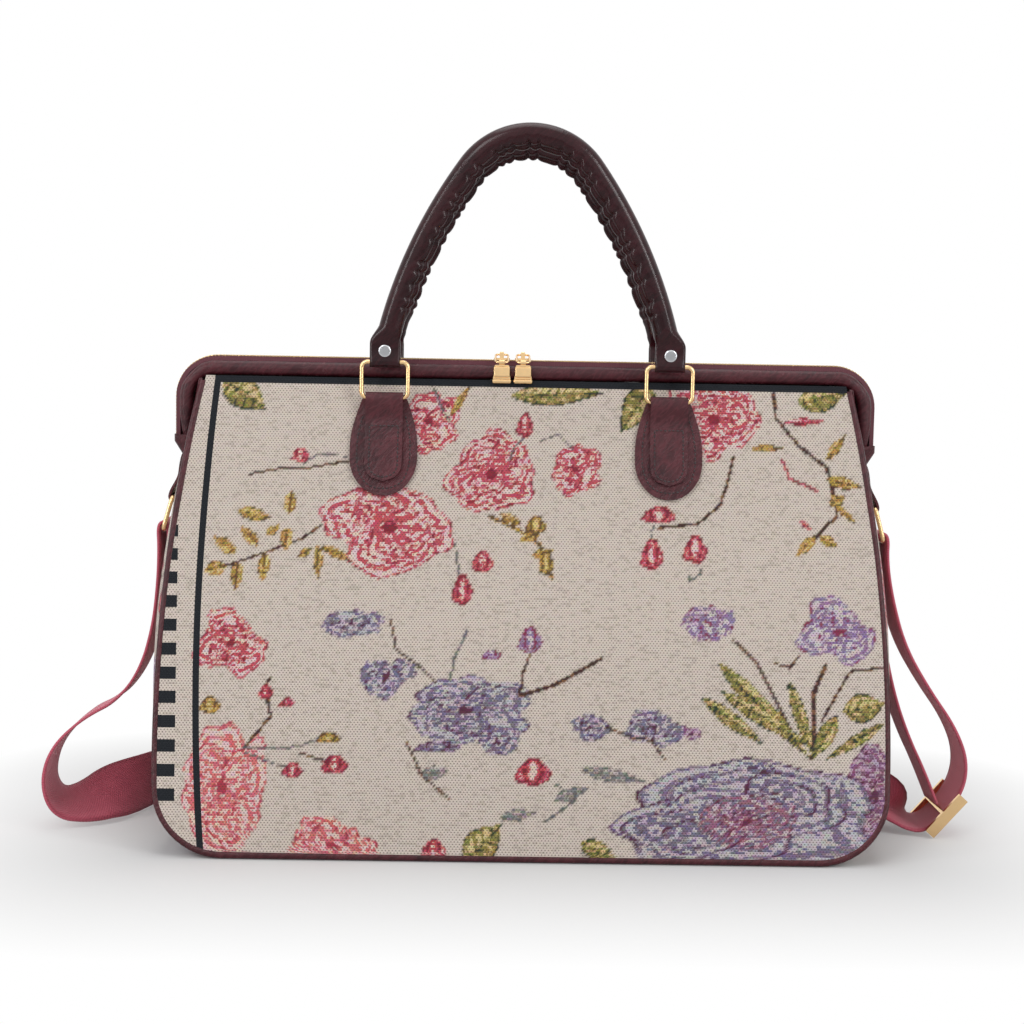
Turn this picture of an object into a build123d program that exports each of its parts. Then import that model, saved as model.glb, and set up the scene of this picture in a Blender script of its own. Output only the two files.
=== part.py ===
from build123d import *
import os
from math import atan2, cos, hypot, pi, radians, sin, sqrt, tan

# Carpet bag, zipped shut and standing. Millimetres, +Z up, front towards -Y.
# The origin is on the floor, under the middle of the bag.

# Cloth body
BASE_HALF_WIDTH = 236.0
MOUTH_HALF_WIDTH = 220.5
SIDE_BULGE = 11.4456
BASE_DEPTH = 200.0
MOUTH_DEPTH = 25.0
BODY_CORNER_RADIUS = 44.0
CLOTH_THICKNESS = 3.0
SWELL_DEPTH = 9.0
SWELL_FLATNESS = 2.6
SWELL_DROOP = 0.85
SWELL_EASE = 1.2
SWELL_TUCK = 0.3
SWELL_LAP = 15.0
SWELL_STEPS = 16
PIPING_DIAMETER = 5.0
PIPING_LIFT = 0.3
PIPING_TOP_GAP = 9.0
SEAM_GAP = 0.2
BASE_SEAM_MARGIN = 46.0
BOARD_THICKNESS = 3.0
BOARD_END_MARGIN = 50.0
BOARD_SIDE_MARGIN = 10.0

# Mouth frame: padded sleeves over steel rods
FRAME_TOP = 318.0
FRAME_OVERHANG = 14.5
FRAME_FOOT = 263.0
FRAME_CORNER_RADIUS = 20.0
SLEEVE_DIAMETER = 10.0
ROD_DIAMETER = 5.0
ROD_CLEARANCE = 0.25
ROD_END_INSET = 2.0
MOUTH_GAP = 8.0
SLEEVE_GAP = 0.3

# Zip: tape, rows of teeth, sliders, links and pulls
TAPE_THICKNESS = 0.8
TAPE_FLAT_EDGE = 5.0
CHAIN_LIFT = 6.6
CHAIN_HEIGHT = 2.0
CHAIN_HALF_WIDTH = 2.6
CHAIN_HALF_GAP = 0.6
SLIDER_LENGTH = 11.0
SLIDER_WIDTH = 8.4
SLIDER_PLATE = 1.0
SLIDER_GAP = 0.3
SLIDER_RIM = 0.8
SLIDER_SPACING = 14.4
SLIDER_POST_LENGTH = 3.0
SLIDER_POST_GAP = 0.2
ZIP_MEETING_X = -10.0
CROWN_WIDTH = 2.8
CROWN_BAR = 1.0
CROWN_LEG = 1.0
LINK_WIRE = 1.4
LINK_WIDTH = 10.0
LINK_REACH = 17.0
LINK_SLOPE = 18.0
LINK_LIFT = 1.6
LINK_PLAY = 0.2
PULL_LENGTH = 14.0
PULL_TOP_WIDTH = 9.6
PULL_WIDTH = 12.4
PULL_THICKNESS = 1.6
PULL_GROOVE = 0.4
PULL_GROOVE_HEIGHT = 1.2
PULL_EYE_WALL = 0.8

# Rings, patches and loops that carry the handles
RING_HALF_SPACING = 95.5
RING_WIDTH = 34.0
RING_HEIGHT = 26.7
RING_WIRE = 3.0
RING_CORNER_RADIUS = 4.0
RING_AXIS_HEIGHT = 295.0
EYE_CLEARANCE = 0.3
LOOP_LEATHER = 1.9
LOOP_WIDTH = 25.0
LOOP_LENGTH = 57.0
PATCH_THICKNESS = 2.0
PATCH_WIDTH = 45.0
PATCH_TOP_WIDTH = 30.0
PATCH_LENGTH = 66.0
PATCH_SHOULDER = 26.0

# Rolled handles
HANDLE_RISE = 151.0
HANDLE_DIAMETER = 16.0
HANDLE_CROWN_RADIUS = 50.0
HANDLE_CROWN_HALF_ANGLE = 54.0
HANDLE_LEAN = 2.5
HANDLE_TUBE_FOOT = 24.0
HANDLE_TUBE_HALF_SPAN = 91.5
HANDLE_WALL = 2.0
CORE_CLEARANCE = 0.2
FOOT_WIDTH = 20.5
FOOT_THICKNESS = 5.0
FOOT_HEIGHT = 14.0
FOOT_LEATHER = 1.8
RIVET_HEIGHT = 7.6
RIVET_CAP_DIAMETER = 8.6
RIVET_CAP_HEIGHT = 1.5
RIVET_SHANK_DIAMETER = 3.0
RIVET_HOLE_CLEARANCE = 0.1
GATHER_COUNT = 34
GATHER_THICKNESS = 3.6
GATHER_VALLEY = 0.6
GATHER_CREST = 2.6
GATHER_START_SHARE = 0.05

# Side tabs and rings that carry the strap
SIDE_TAB_WIDTH = 36.0
SIDE_TAB_LENGTH = 30.0
SIDE_TAB_THICKNESS = 2.0
SIDE_RING_RISE = 234.0
SIDE_RING_WIDTH = 47.0
SIDE_RING_HEIGHT = 26.0
SIDE_RING_TILT = 9.0

# Shoulder strap of webbing, and its slide buckle
STRAP_WIDTH = 38.0
STRAP_THICKNESS = 1.8
BUCKLE_WIDTH = 47.0
BUCKLE_LENGTH = 34.0
BUCKLE_RAIL = 2.6
BUCKLE_GAP = 0.3

# One overrun for all cuts
OVERRUN = 5.0

# Worked out from the sizes above
sleeve_radius = SLEEVE_DIAMETER / 2
piping_radius = PIPING_DIAMETER / 2
ring_radius = RING_WIRE / 2
tube_radius = HANDLE_DIAMETER / 2
frame_axis_top = FRAME_TOP - sleeve_radius
frame_half_width = MOUTH_HALF_WIDTH + FRAME_OVERHANG
frame_axis_half = frame_half_width - sleeve_radius
sleeve_offset = MOUTH_GAP / 2 + sleeve_radius
panel_rise = frame_axis_top - sleeve_radius
lean = atan2((BASE_DEPTH - MOUTH_DEPTH) / 2, panel_rise)
panel_length = hypot((BASE_DEPTH - MOUTH_DEPTH) / 2, panel_rise)
piping_inset = piping_radius + PIPING_LIFT
panel_inset = piping_inset + piping_radius + SEAM_GAP
eye_radius = ring_radius + EYE_CLEARANCE
loop_radius = eye_radius + LOOP_LEATHER
foot_eye_radius = eye_radius + FOOT_LEATHER
ring_axis_stand = CLOTH_THICKNESS / 2 + PATCH_THICKNESS + loop_radius
ring_axis_slant = (RING_AXIS_HEIGHT - ring_axis_stand * sin(lean)) / cos(lean)
ring_axis_y = -BASE_DEPTH / 2 + ring_axis_slant * sin(lean) - ring_axis_stand * cos(lean)
ring_reach = RING_HEIGHT - RING_WIRE
handle_axis_height = RING_AXIS_HEIGHT + ring_reach

# The front panel's middle surface leans back from the base to the mouth
PANEL = Plane(
    origin=(0, -BASE_DEPTH / 2, 0),
    x_dir=(1, 0, 0),
    z_dir=(0, -cos(lean), sin(lean)),
)

# The bag's side edge is one long arc from the base to the mouth, bulging out between them
SIDE_CHORD = Line((BASE_HALF_WIDTH, 0), (MOUTH_HALF_WIDTH, panel_length))
SIDE_OUTWARD = (SIDE_CHORD % 0).cross(Vector(0, 0, 1))
SIDE = ThreePointArc(SIDE_CHORD @ 0, SIDE_CHORD @ (1 / 2) + SIDE_OUTWARD * SIDE_BULGE, SIDE_CHORD @ 1)


def side_x(rise, inset):
    """Half width of the bag at a rise along the panel, drawn in by an inset."""
    return SIDE.arc_center.X + sqrt((SIDE.radius - inset) ** 2 - (rise - SIDE.arc_center.Y) ** 2)


def outline(inset, top):
    """Face of the panel's outline drawn in by an inset, up to a top line."""
    middle = (inset + top) / 2
    foot = (side_x(inset, inset), inset)
    belly = (side_x(middle, inset), middle)
    head = (side_x(top, inset), top)
    right = ThreePointArc(foot, belly, head)
    left = mirror(right, about=Plane.YZ)
    base = Line((-foot[0], foot[1]), foot)
    lid = Line(head, (-head[0], head[1]))
    face = make_face([base, right, lid, left])
    corners = face.vertices().sort_by(Axis.Y)[:2]
    return fillet(corners, BODY_CORNER_RADIUS - inset)


def tube(path, radius):
    """Round bar of a radius along a path."""
    return sweep(Plane(path @ 0, z_dir=path % 0) * Circle(radius), path=path)


def frame_path(foot):
    """Middle line of the mouth frame: up one side, along the top and down the other."""
    points = [
        (-frame_axis_half, 0, foot),
        (-frame_axis_half, 0, frame_axis_top),
        (frame_axis_half, 0, frame_axis_top),
        (frame_axis_half, 0, foot),
    ]
    return FilletPolyline(*points, radius=FRAME_CORNER_RADIUS)


def along_frame(section, foot):
    """Sweep a section along the frame. Its x runs out of the mouth and its y to the front."""
    start = Plane(origin=(-frame_axis_half, 0, foot), x_dir=(-1, 0, 0), z_dir=(0, 0, 1))
    return sweep(start * section, path=frame_path(foot))


def sleeve_bar(radius, foot):
    """Round bar on the front sleeve's middle line."""
    return along_frame(Pos(0, sleeve_offset) * Circle(radius), foot)


def make_sleeve():
    bore = sleeve_bar(ROD_DIAMETER / 2 + ROD_CLEARANCE, FRAME_FOOT)
    return sleeve_bar(sleeve_radius, FRAME_FOOT) - bore


def swell(across, up):
    """How far the packed cloth stands out, by the shares of the way to a side and up to the patches."""
    height = max(sin(pi * up**SWELL_DROOP), 0) ** SWELL_EASE
    return SWELL_DEPTH * (1 - abs(across) ** SWELL_FLATNESS) * height - SWELL_TUCK * up


def make_panel():
    """Panel of cloth: flat near the mouth, and swelled out below the patches by what is packed."""
    half = BASE_HALF_WIDTH + SIDE_BULGE
    top = ring_axis_slant - PATCH_LENGTH
    shares = [2 * step / SWELL_STEPS - 1 for step in range(SWELL_STEPS + 1)]
    rows = []
    for row in range(SWELL_STEPS + 1):
        up = row / SWELL_STEPS
        rows.append([Vector(half * share, top * up, swell(share, up)) for share in shares])
    middle = Face.make_surface_from_array_of_points(rows)
    face = outline(panel_inset, panel_length)
    swelled = extrude(middle, CLOTH_THICKNESS / 2, dir=(0, 0, 1), both=True)
    swelled &= extrude(face, 2 * SWELL_DEPTH, both=True)
    upper = face & Pos(0, panel_length) * Rectangle(2 * half, 2 * (panel_length - top + SWELL_LAP))
    sheet = PANEL.location * (swelled + extrude(upper, CLOTH_THICKNESS / 2, both=True))
    return sheet - sleeve_bar(sleeve_radius + SLEEVE_GAP, FRAME_FOOT)


def make_piping():
    face = outline(piping_inset, panel_length - PIPING_TOP_GAP)
    edges = face.edges().sort_by(Axis.Y)[:-1]
    return tube(Wire([PANEL.from_local_coords(edge) for edge in edges]), piping_radius)


def make_gusset():
    """Band of three lengths sewn end to end: two sides, open at the mouth, and a flat base."""
    band = outline(0, panel_length) - outline(CLOTH_THICKNESS, panel_length)
    band = extrude(PANEL * band, BASE_DEPTH, dir=(0, 1, 0))
    front = PANEL.offset(-(piping_radius + SEAM_GAP))
    band = split(band, bisect_by=front, keep=Keep.BOTTOM)
    band = mirror(split(mirror(band, about=Plane.XZ), bisect_by=front, keep=Keep.BOTTOM), about=Plane.XZ)
    half_slot = sleeve_offset + sleeve_radius + SLEEVE_GAP
    slot_foot = FRAME_FOOT - SLEEVE_GAP
    slot_height = FRAME_TOP - slot_foot
    slot = Box(2 * frame_half_width + OVERRUN, 2 * half_slot, slot_height)
    band -= Pos(0, 0, slot_foot + slot_height / 2) * slot
    seam_x = BASE_HALF_WIDTH - BASE_SEAM_MARGIN
    seam = Box(SEAM_GAP, BASE_DEPTH, 2 * CLOTH_THICKNESS)
    return band - Pos(seam_x, 0, 0) * seam - Pos(-seam_x, 0, 0) * seam


def make_base_board():
    length = 2 * (BASE_HALF_WIDTH - BOARD_END_MARGIN)
    depth = BASE_DEPTH - 2 * BOARD_SIDE_MARGIN
    seat = CLOTH_THICKNESS * cos(lean)
    return Pos(0, 0, seat + BOARD_THICKNESS / 2) * Box(length, depth, BOARD_THICKNESS)


def make_zip_tape():
    """Front half of the zip's tape: flat beside the teeth, then down on to the sleeve."""
    top = CHAIN_LIFT + (CHAIN_HEIGHT + TAPE_THICKNESS) / 2
    points = [
        (top, CHAIN_HALF_WIDTH),
        (top, TAPE_FLAT_EDGE + TAPE_THICKNESS),
        (sleeve_radius / 2, sleeve_offset),
        (sleeve_radius / 2, sleeve_offset - 2 * TAPE_THICKNESS),
        (top - TAPE_THICKNESS, TAPE_FLAT_EDGE),
        (top - TAPE_THICKNESS, CHAIN_HALF_WIDTH),
    ]
    tape = along_frame(make_face(Polyline(*points, close=True)), FRAME_FOOT)
    return tape - sleeve_bar(sleeve_radius, FRAME_FOOT)


def make_zip_teeth():
    width = CHAIN_HALF_WIDTH - CHAIN_HALF_GAP
    section = Pos(CHAIN_LIFT + CHAIN_HEIGHT / 2, CHAIN_HALF_GAP + width / 2) * Rectangle(CHAIN_HEIGHT, width)
    return along_frame(section, FRAME_FOOT)


slider_top = frame_axis_top + CHAIN_LIFT + CHAIN_HEIGHT + SLIDER_GAP + SLIDER_PLATE
link_axis_height = slider_top + LINK_LIFT + LINK_WIRE / 2
link_end_y = -LINK_REACH * cos(radians(LINK_SLOPE))
link_end_height = link_axis_height - LINK_REACH * sin(radians(LINK_SLOPE))


def make_slider(x, post_side):
    """Zip slider: two plates round the teeth, a post between the rows and a crown on top."""
    chain_foot = frame_axis_top + CHAIN_LIFT
    plate = Box(SLIDER_LENGTH, SLIDER_WIDTH, SLIDER_PLATE)
    plate = fillet(plate.edges().filter_by(Axis.Z), SLIDER_WIDTH / 4)
    top = Pos(0, 0, slider_top - SLIDER_PLATE / 2) * plate
    bottom = Pos(0, 0, chain_foot - SLIDER_GAP - SLIDER_PLATE / 2) * plate
    rim_height = CHAIN_HEIGHT / 2 - TAPE_THICKNESS / 2
    rim = Box(SLIDER_LENGTH - SLIDER_WIDTH / 2, SLIDER_RIM, rim_height)
    rim_z = slider_top - SLIDER_PLATE - rim_height / 2
    rim_y = (SLIDER_WIDTH - SLIDER_RIM) / 2
    rims = Pos(0, rim_y, rim_z) * rim + Pos(0, -rim_y, rim_z) * rim
    post_height = CHAIN_HEIGHT + 2 * SLIDER_GAP
    post = Box(SLIDER_POST_LENGTH, 2 * (CHAIN_HALF_GAP - SLIDER_POST_GAP), post_height)
    post_x = post_side * (SLIDER_LENGTH - SLIDER_POST_LENGTH) / 2
    post = Pos(post_x, 0, chain_foot + CHAIN_HEIGHT / 2) * post
    window = LINK_LIFT + LINK_WIRE + LINK_PLAY
    hole = LINK_WIRE + 2 * LINK_PLAY
    crown = Box(CROWN_WIDTH, hole + 2 * CROWN_LEG, window + CROWN_BAR)
    crown = fillet(crown.edges().filter_by(Axis.X).group_by(Axis.Z)[-1], CROWN_LEG)
    crown = Pos(0, 0, slider_top + (window + CROWN_BAR) / 2) * crown
    crown -= Pos(0, 0, slider_top + window / 2) * Box(CROWN_WIDTH + OVERRUN, hole, window)
    return Pos(x, 0, 0) * (top + bottom + rims + post + crown)


def make_link(x):
    """Wire link from the slider's crown, forward over the sleeve."""
    half = (LINK_WIDTH - LINK_WIRE) / 2
    corners = [(-half, 0), (half, 0), (half, -LINK_REACH), (-half, -LINK_REACH)]
    ring = FilletPolyline(*corners, radius=half / 2, close=True)
    return Pos(x, 0, link_axis_height) * Rot(X=LINK_SLOPE) * tube(ring, LINK_WIRE / 2)


def make_pull(x):
    """Flat pull that hangs from the link's front wire by an eye."""
    eye = LINK_WIRE / 2 + LINK_PLAY
    eye_outer = eye + PULL_EYE_WALL
    eye_width = LINK_WIDTH / 2 - LINK_WIRE
    corners = [
        (-PULL_TOP_WIDTH / 2, -eye_outer),
        (PULL_TOP_WIDTH / 2, -eye_outer),
        (PULL_WIDTH / 2, -PULL_LENGTH),
        (-PULL_WIDTH / 2, -PULL_LENGTH),
    ]
    plate = extrude(Plane.XZ * make_face(Polyline(*corners, close=True)), PULL_THICKNESS / 2, both=True)
    plate = fillet(plate.edges().filter_by(Axis.Y), PULL_THICKNESS / 2)
    groove = Box(PULL_WIDTH + OVERRUN, PULL_GROOVE, PULL_GROOVE_HEIGHT)
    groove_y = (PULL_THICKNESS - PULL_GROOVE) / 2
    plate -= Pos(0, -groove_y, -PULL_LENGTH + 2 * PULL_GROOVE_HEIGHT) * groove
    neck = Pos(0, 0, -eye_outer) * Box(eye_width, PULL_THICKNESS, 2 * PULL_EYE_WALL)
    knuckle = Rot(Y=90) * Cylinder(eye_outer, eye_width)
    bore = Rot(Y=90) * Cylinder(eye, eye_width + OVERRUN)
    return Pos(x, link_end_y, link_end_height) * (plate + neck + knuckle - bore)


def rectangular_ring(width, height):
    """Wire ring in the XZ plane, hung with its upper bar's middle on the origin."""
    half = (width - RING_WIRE) / 2
    drop = RING_WIRE - height
    corners = [(-half, 0, 0), (half, 0, 0), (half, 0, drop), (-half, 0, drop)]
    return tube(FilletPolyline(*corners, radius=RING_CORNER_RADIUS, close=True), ring_radius)


def make_ring(x):
    return Pos(x, ring_axis_y, handle_axis_height) * rectangular_ring(RING_WIDTH, RING_HEIGHT)


def make_patch(x):
    """Leather patch sewn flat on the panel: sloping shoulders and a round foot."""
    half = PATCH_WIDTH / 2
    half_top = PATCH_TOP_WIDTH / 2
    head = ring_axis_slant
    waist = head - PATCH_SHOULDER
    foot = head - PATCH_LENGTH
    round_start = foot + half
    edges = [
        Line((-half_top, head), (half_top, head)),
        Line((half_top, head), (half, waist)),
        Line((half, waist), (half, round_start)),
        ThreePointArc((half, round_start), (0, foot), (-half, round_start)),
        Line((-half, round_start), (-half, waist)),
        Line((-half, waist), (-half_top, head)),
    ]
    seat = PANEL.offset(CLOTH_THICKNESS / 2)
    return extrude(seat * (Pos(x, 0) * make_face(edges)), PATCH_THICKNESS)


def make_loop(x):
    """Leather loop sewn on the patch, with an eye round the ring's lower bar."""
    half = LOOP_WIDTH / 2
    foot = -LOOP_LENGTH
    edges = [
        Line((-half, 0), (half, 0)),
        Line((half, 0), (half, foot + half)),
        ThreePointArc((half, foot + half), (0, foot), (-half, foot + half)),
        Line((-half, foot + half), (-half, 0)),
    ]
    strap = extrude(make_face(edges), LOOP_LEATHER)
    knuckle = Pos(0, 0, loop_radius) * Rot(Y=90) * Cylinder(loop_radius, LOOP_WIDTH)
    bore = Pos(0, 0, loop_radius) * Rot(Y=90) * Cylinder(eye_radius, LOOP_WIDTH + OVERRUN)
    seat = PANEL.offset(CLOTH_THICKNESS / 2 + PATCH_THICKNESS)
    return seat.location * Pos(x, ring_axis_slant, 0) * (strap + knuckle - bore)


def handle_line():
    """Middle line of a handle's tube, with the ring bars on the X axis: leg, crown, leg."""
    angle = radians(HANDLE_CROWN_HALF_ANGLE)
    shoulder_x = HANDLE_CROWN_RADIUS * sin(angle)
    shoulder_z = HANDLE_RISE - HANDLE_CROWN_RADIUS * (1 - cos(angle))
    right_shoulder = (shoulder_x, 0, shoulder_z)
    right_end = (HANDLE_TUBE_HALF_SPAN, 0, HANDLE_TUBE_FOOT)
    crown = ThreePointArc((-shoulder_x, 0, shoulder_z), (0, 0, HANDLE_RISE), right_shoulder)
    right = TangentArc(right_shoulder, right_end, tangent=(cos(angle), 0, -sin(angle)))
    middle = right @ (1 / 2)
    left = ThreePointArc((-right_end[0], 0, right_end[2]), (-middle.X, 0, middle.Z), crown @ 0)
    return Wire([left, crown, right])


def inward(line, share):
    """Direction from a handle's middle line towards the hand."""
    ahead = line % share
    return Vector(ahead.Z, 0, -ahead.X)


def gathered_seam(line):
    """Ruffled seam on the inner side of a handle: a thin web with one scallop for each gather."""
    span = 1 - 2 * GATHER_START_SHARE
    valleys = []
    roots = []
    crests = []
    for index in range(GATHER_COUNT + 1):
        share = GATHER_START_SHARE + span * index / GATHER_COUNT
        roots.append(line @ share)
        valleys.append(line @ share + inward(line, share) * (tube_radius + GATHER_VALLEY))
    for index in range(GATHER_COUNT):
        share = GATHER_START_SHARE + span * (index + 1 / 2) / GATHER_COUNT
        crests.append(line @ share + inward(line, share) * (tube_radius + GATHER_CREST))
    scallops = [ThreePointArc(a, b, c) for a, b, c in zip(valleys, crests, valleys[1:])]
    edges = scallops + [
        Line(valleys[-1], roots[-1]),
        Polyline(*reversed(roots)),
        Line(roots[0], valleys[0]),
    ]
    return extrude(make_face(edges), GATHER_THICKNESS / 2, dir=(0, 1, 0), both=True)


def handle_foot(end, direction):
    """Flattened end of a handle, folded round a ring's upper bar and riveted."""
    round_end = Plane(origin=end, x_dir=(0, 1, 0), z_dir=direction) * Circle(tube_radius)
    flat = Plane(origin=(RING_HALF_SPACING, 0, FOOT_HEIGHT), x_dir=(0, 1, 0), z_dir=(0, 0, -1))
    flat_end = flat * Ellipse(FOOT_THICKNESS / 2 + FOOT_LEATHER / 2, FOOT_WIDTH / 2)
    neck = loft([round_end, flat_end])
    plate = Box(FOOT_WIDTH, FOOT_THICKNESS, FOOT_HEIGHT)
    knuckle = Rot(Y=90) * Cylinder(foot_eye_radius, FOOT_WIDTH)
    return neck + Pos(RING_HALF_SPACING, 0, 0) * (Pos(0, 0, FOOT_HEIGHT / 2) * plate + knuckle)


def handle_place():
    """Where the front handle's ring bars are, with its lean to the front."""
    return Pos(0, ring_axis_y, handle_axis_height) * Rot(X=HANDLE_LEAN)


def make_handle_cover():
    line = handle_line()
    bore = tube(line, tube_radius - HANDLE_WALL)
    foot = handle_foot(line @ 1, line % 1)
    eye = Pos(RING_HALF_SPACING, 0, 0) * Rot(Y=90) * Cylinder(eye_radius, FOOT_WIDTH + OVERRUN)
    hole_radius = RIVET_SHANK_DIAMETER / 2 + RIVET_HOLE_CLEARANCE
    hole = Pos(RING_HALF_SPACING, 0, RIVET_HEIGHT) * Rot(X=90) * Cylinder(hole_radius, 2 * FOOT_WIDTH)
    foot = foot - eye - hole
    cover = tube(line, tube_radius) + gathered_seam(line) - bore
    return handle_place() * (cover + foot + mirror(foot, about=Plane.YZ))


def make_handle_core():
    return handle_place() * tube(handle_line(), tube_radius - HANDLE_WALL - CORE_CLEARANCE)


def make_rivets():
    """Two rivets with domed caps, one through each foot of a handle."""
    cap = Cylinder(RIVET_CAP_DIAMETER / 2, RIVET_CAP_HEIGHT)
    cap = fillet(cap.edges().group_by(Axis.Z)[-1], RIVET_CAP_HEIGHT * 2 / 3)
    stand = (FOOT_THICKNESS + RIVET_CAP_HEIGHT) / 2
    shank = Cylinder(RIVET_SHANK_DIAMETER / 2, FOOT_THICKNESS)
    rivet = Pos(0, 0, stand) * cap + shank + Rot(X=180) * Pos(0, 0, stand) * cap
    rivet = Pos(RING_HALF_SPACING, 0, RIVET_HEIGHT) * Rot(X=90) * rivet
    return handle_place() * (rivet + mirror(rivet, about=Plane.YZ))


def side_plane():
    """Plane on the bag's right side at the strap ring, with y up the side and z outwards."""
    rise = SIDE_RING_RISE
    slope = (rise - SIDE.arc_center.Y) / (side_x(rise, 0) - SIDE.arc_center.X) / cos(lean)
    origin = (side_x(rise, 0) + SEAM_GAP, 0, rise * cos(lean))
    return Plane(origin=origin, x_dir=(0, 1, 0), z_dir=(1, 0, slope))


def make_side_tab():
    """Leather tab sewn on the side, with an eye at its foot for the strap's ring."""
    plate = Pos(0, SIDE_TAB_LENGTH / 2, SIDE_TAB_THICKNESS / 2) * Box(
        SIDE_TAB_WIDTH, SIDE_TAB_LENGTH, SIDE_TAB_THICKNESS
    )
    plate = fillet(plate.edges().filter_by(Axis.Z).group_by(Axis.Y)[-1], SIDE_TAB_LENGTH / 3)
    knuckle = Pos(0, 0, loop_radius) * Rot(Y=90) * Cylinder(loop_radius, SIDE_TAB_WIDTH)
    bore = Pos(0, 0, loop_radius) * Rot(Y=90) * Cylinder(eye_radius, SIDE_TAB_WIDTH + OVERRUN)
    return side_plane().location * (plate + knuckle - bore)


def make_side_ring():
    """Strap ring on the right side, hung from its tab and held off the cloth by the strap."""
    ring = Rot(X=-90 - SIDE_RING_TILT) * rectangular_ring(SIDE_RING_WIDTH, SIDE_RING_HEIGHT)
    return side_plane().location * Pos(0, 0, loop_radius) * ring


# Route of the strap's middle line: x, y, z, and how far its width turns from level to upright.
# It starts sewn round the left ring, loops on the floor, passes behind the bag, goes through
# the buckle, up round the right ring and back down to the buckle's middle bar.
BUCKLE_FOOT = (282, -6, 4, 0)
BUCKLE_HEAD = (303, -6, 28, 0)
STRAP_ROUTE = [
    (-241, 0, 180, 0),
    (-240.6, 0, 206.6, 0),
    (-247.1, 0, 206.6, 0),
    (-247.4, 1, 190, 0),
    (-249, 5, 166, 0),
    (-253, 9, 136, 0),
    (-260, 3, 108, 0),
    (-274, -10, 87, 0),
    (-297, -18, 75, 0),
    (-316, -23, 56, 0),
    (-322, -24, 32, 0),
    (-315, -21, 14, 12),
    (-298, -14, 12.6, 30),
    (-280, -2, 18.8, 52),
    (-266, 15, 20.6, 75),
    (-256, 42, 20.2, 90),
    (-251, 78, 19.6, 90),
    (-233, 106, 19.6, 90),
    (-196, 117, 19.6, 90),
    (-146, 113, 19.6, 90),
    (-92, 118, 19.6, 90),
    (-36, 112, 19.6, 90),
    (20, 117, 19.6, 90),
    (76, 112, 19.6, 90),
    (130, 118, 19.6, 90),
    (180, 116, 19.6, 90),
    (222, 109, 19.6, 90),
    (246, 88, 19.6, 90),
    (253, 56, 20.6, 85),
    (252, 27, 20.6, 66),
    (256, 6, 17, 34),
    (267, -4, 6.4, 8),
    BUCKLE_FOOT,
    BUCKLE_HEAD,
    (307, -7, 52, 0),
    (297, -8, 77, 0),
    (278, -7, 103, 0),
    (261, -4, 132, 0),
    (252, -1, 164, 0),
    (247.6, 0, 190, 0),
    (247.1, 0, 206.6, 0),
    (240.6, 0, 206.6, 0),
    (242, 1, 186, 0),
    (244.5, 2, 163, 0),
    (249, 4, 130, 0),
    (257, 3, 96, 0),
    (267, 0, 68, 0),
    (279, -4, 43, 0),
    (287.5, -6, 21.6, 0),
]
ARC_SHARE = 0.45


def strap_radii(points):
    """Radius at each inner corner of the route: as large as the two runs beside it allow."""
    radii = []
    for before, here, after in zip(points, points[1:], points[2:]):
        turn = radians((here - before).get_angle(after - here))
        shorter = min((here - before).length, (after - here).length)
        radii.append(ARC_SHARE * shorter / tan(turn / 2))
    print("strap radii", [round(radius, 1) for radius in radii])
    return radii


def width_direction(turn, ahead):
    """Direction of the strap's width, square to its run."""
    width = Vector(0, cos(radians(turn)), sin(radians(turn)))
    return (width - ahead * width.dot(ahead)).normalized()


def strap_line():
    """Middle line of the strap: straight runs joined by tangent arcs."""
    points = [Vector(*stop[:3]) for stop in STRAP_ROUTE]
    return FilletPolyline(*points, radius=strap_radii(points))


def strap_stations():
    """Stations along the strap, at the ends of its runs and the middles of its arcs."""
    turns = [stop[3] for stop in STRAP_ROUTE]
    line = strap_line()
    stations = []
    for index, edge in enumerate(line.edges()):
        corner = index // 2
        first, last = turns[corner], turns[corner + 1]
        on_arc = index % 2 == 1
        for share in (0, 1 / 2) if on_arc else (0,):
            turn = last if on_arc else first
            stations.append((edge @ share, edge % share, turn))
    stations.append((line @ 1, line % 1, turns[-1]))
    return stations


def strap_rim(place, ahead, turn):
    """Four corners of the strap's section at a station."""
    width = width_direction(turn, ahead)
    across = width * (STRAP_WIDTH / 2)
    through = ahead.cross(width) * (STRAP_THICKNESS / 2)
    near, far = place + through, place - through
    return [near + across, near - across, far - across, far + across]


def make_strap():
    """Strap as one ribbon of webbing, level where it hangs and upright behind the bag."""
    rims = [strap_rim(*station) for station in strap_stations()]
    faces = [make_face(Polyline(*rim, close=True)).face() for rim in (rims[0], rims[-1])]
    for near, far in zip(rims, rims[1:]):
        for side in range(len(near)):
            start = Edge.make_line(near[side - 1], near[side])
            end = Edge.make_line(far[side - 1], far[side])
            faces.append(Face.make_surface_from_curves(start, end))
    strap = Solid(Shell(faces))
    length = strap_line().length
    print("strap length", round(length, 1))
    print("strap volume", round(strap.volume), "of", round(STRAP_WIDTH * STRAP_THICKNESS * length))
    return strap


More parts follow.
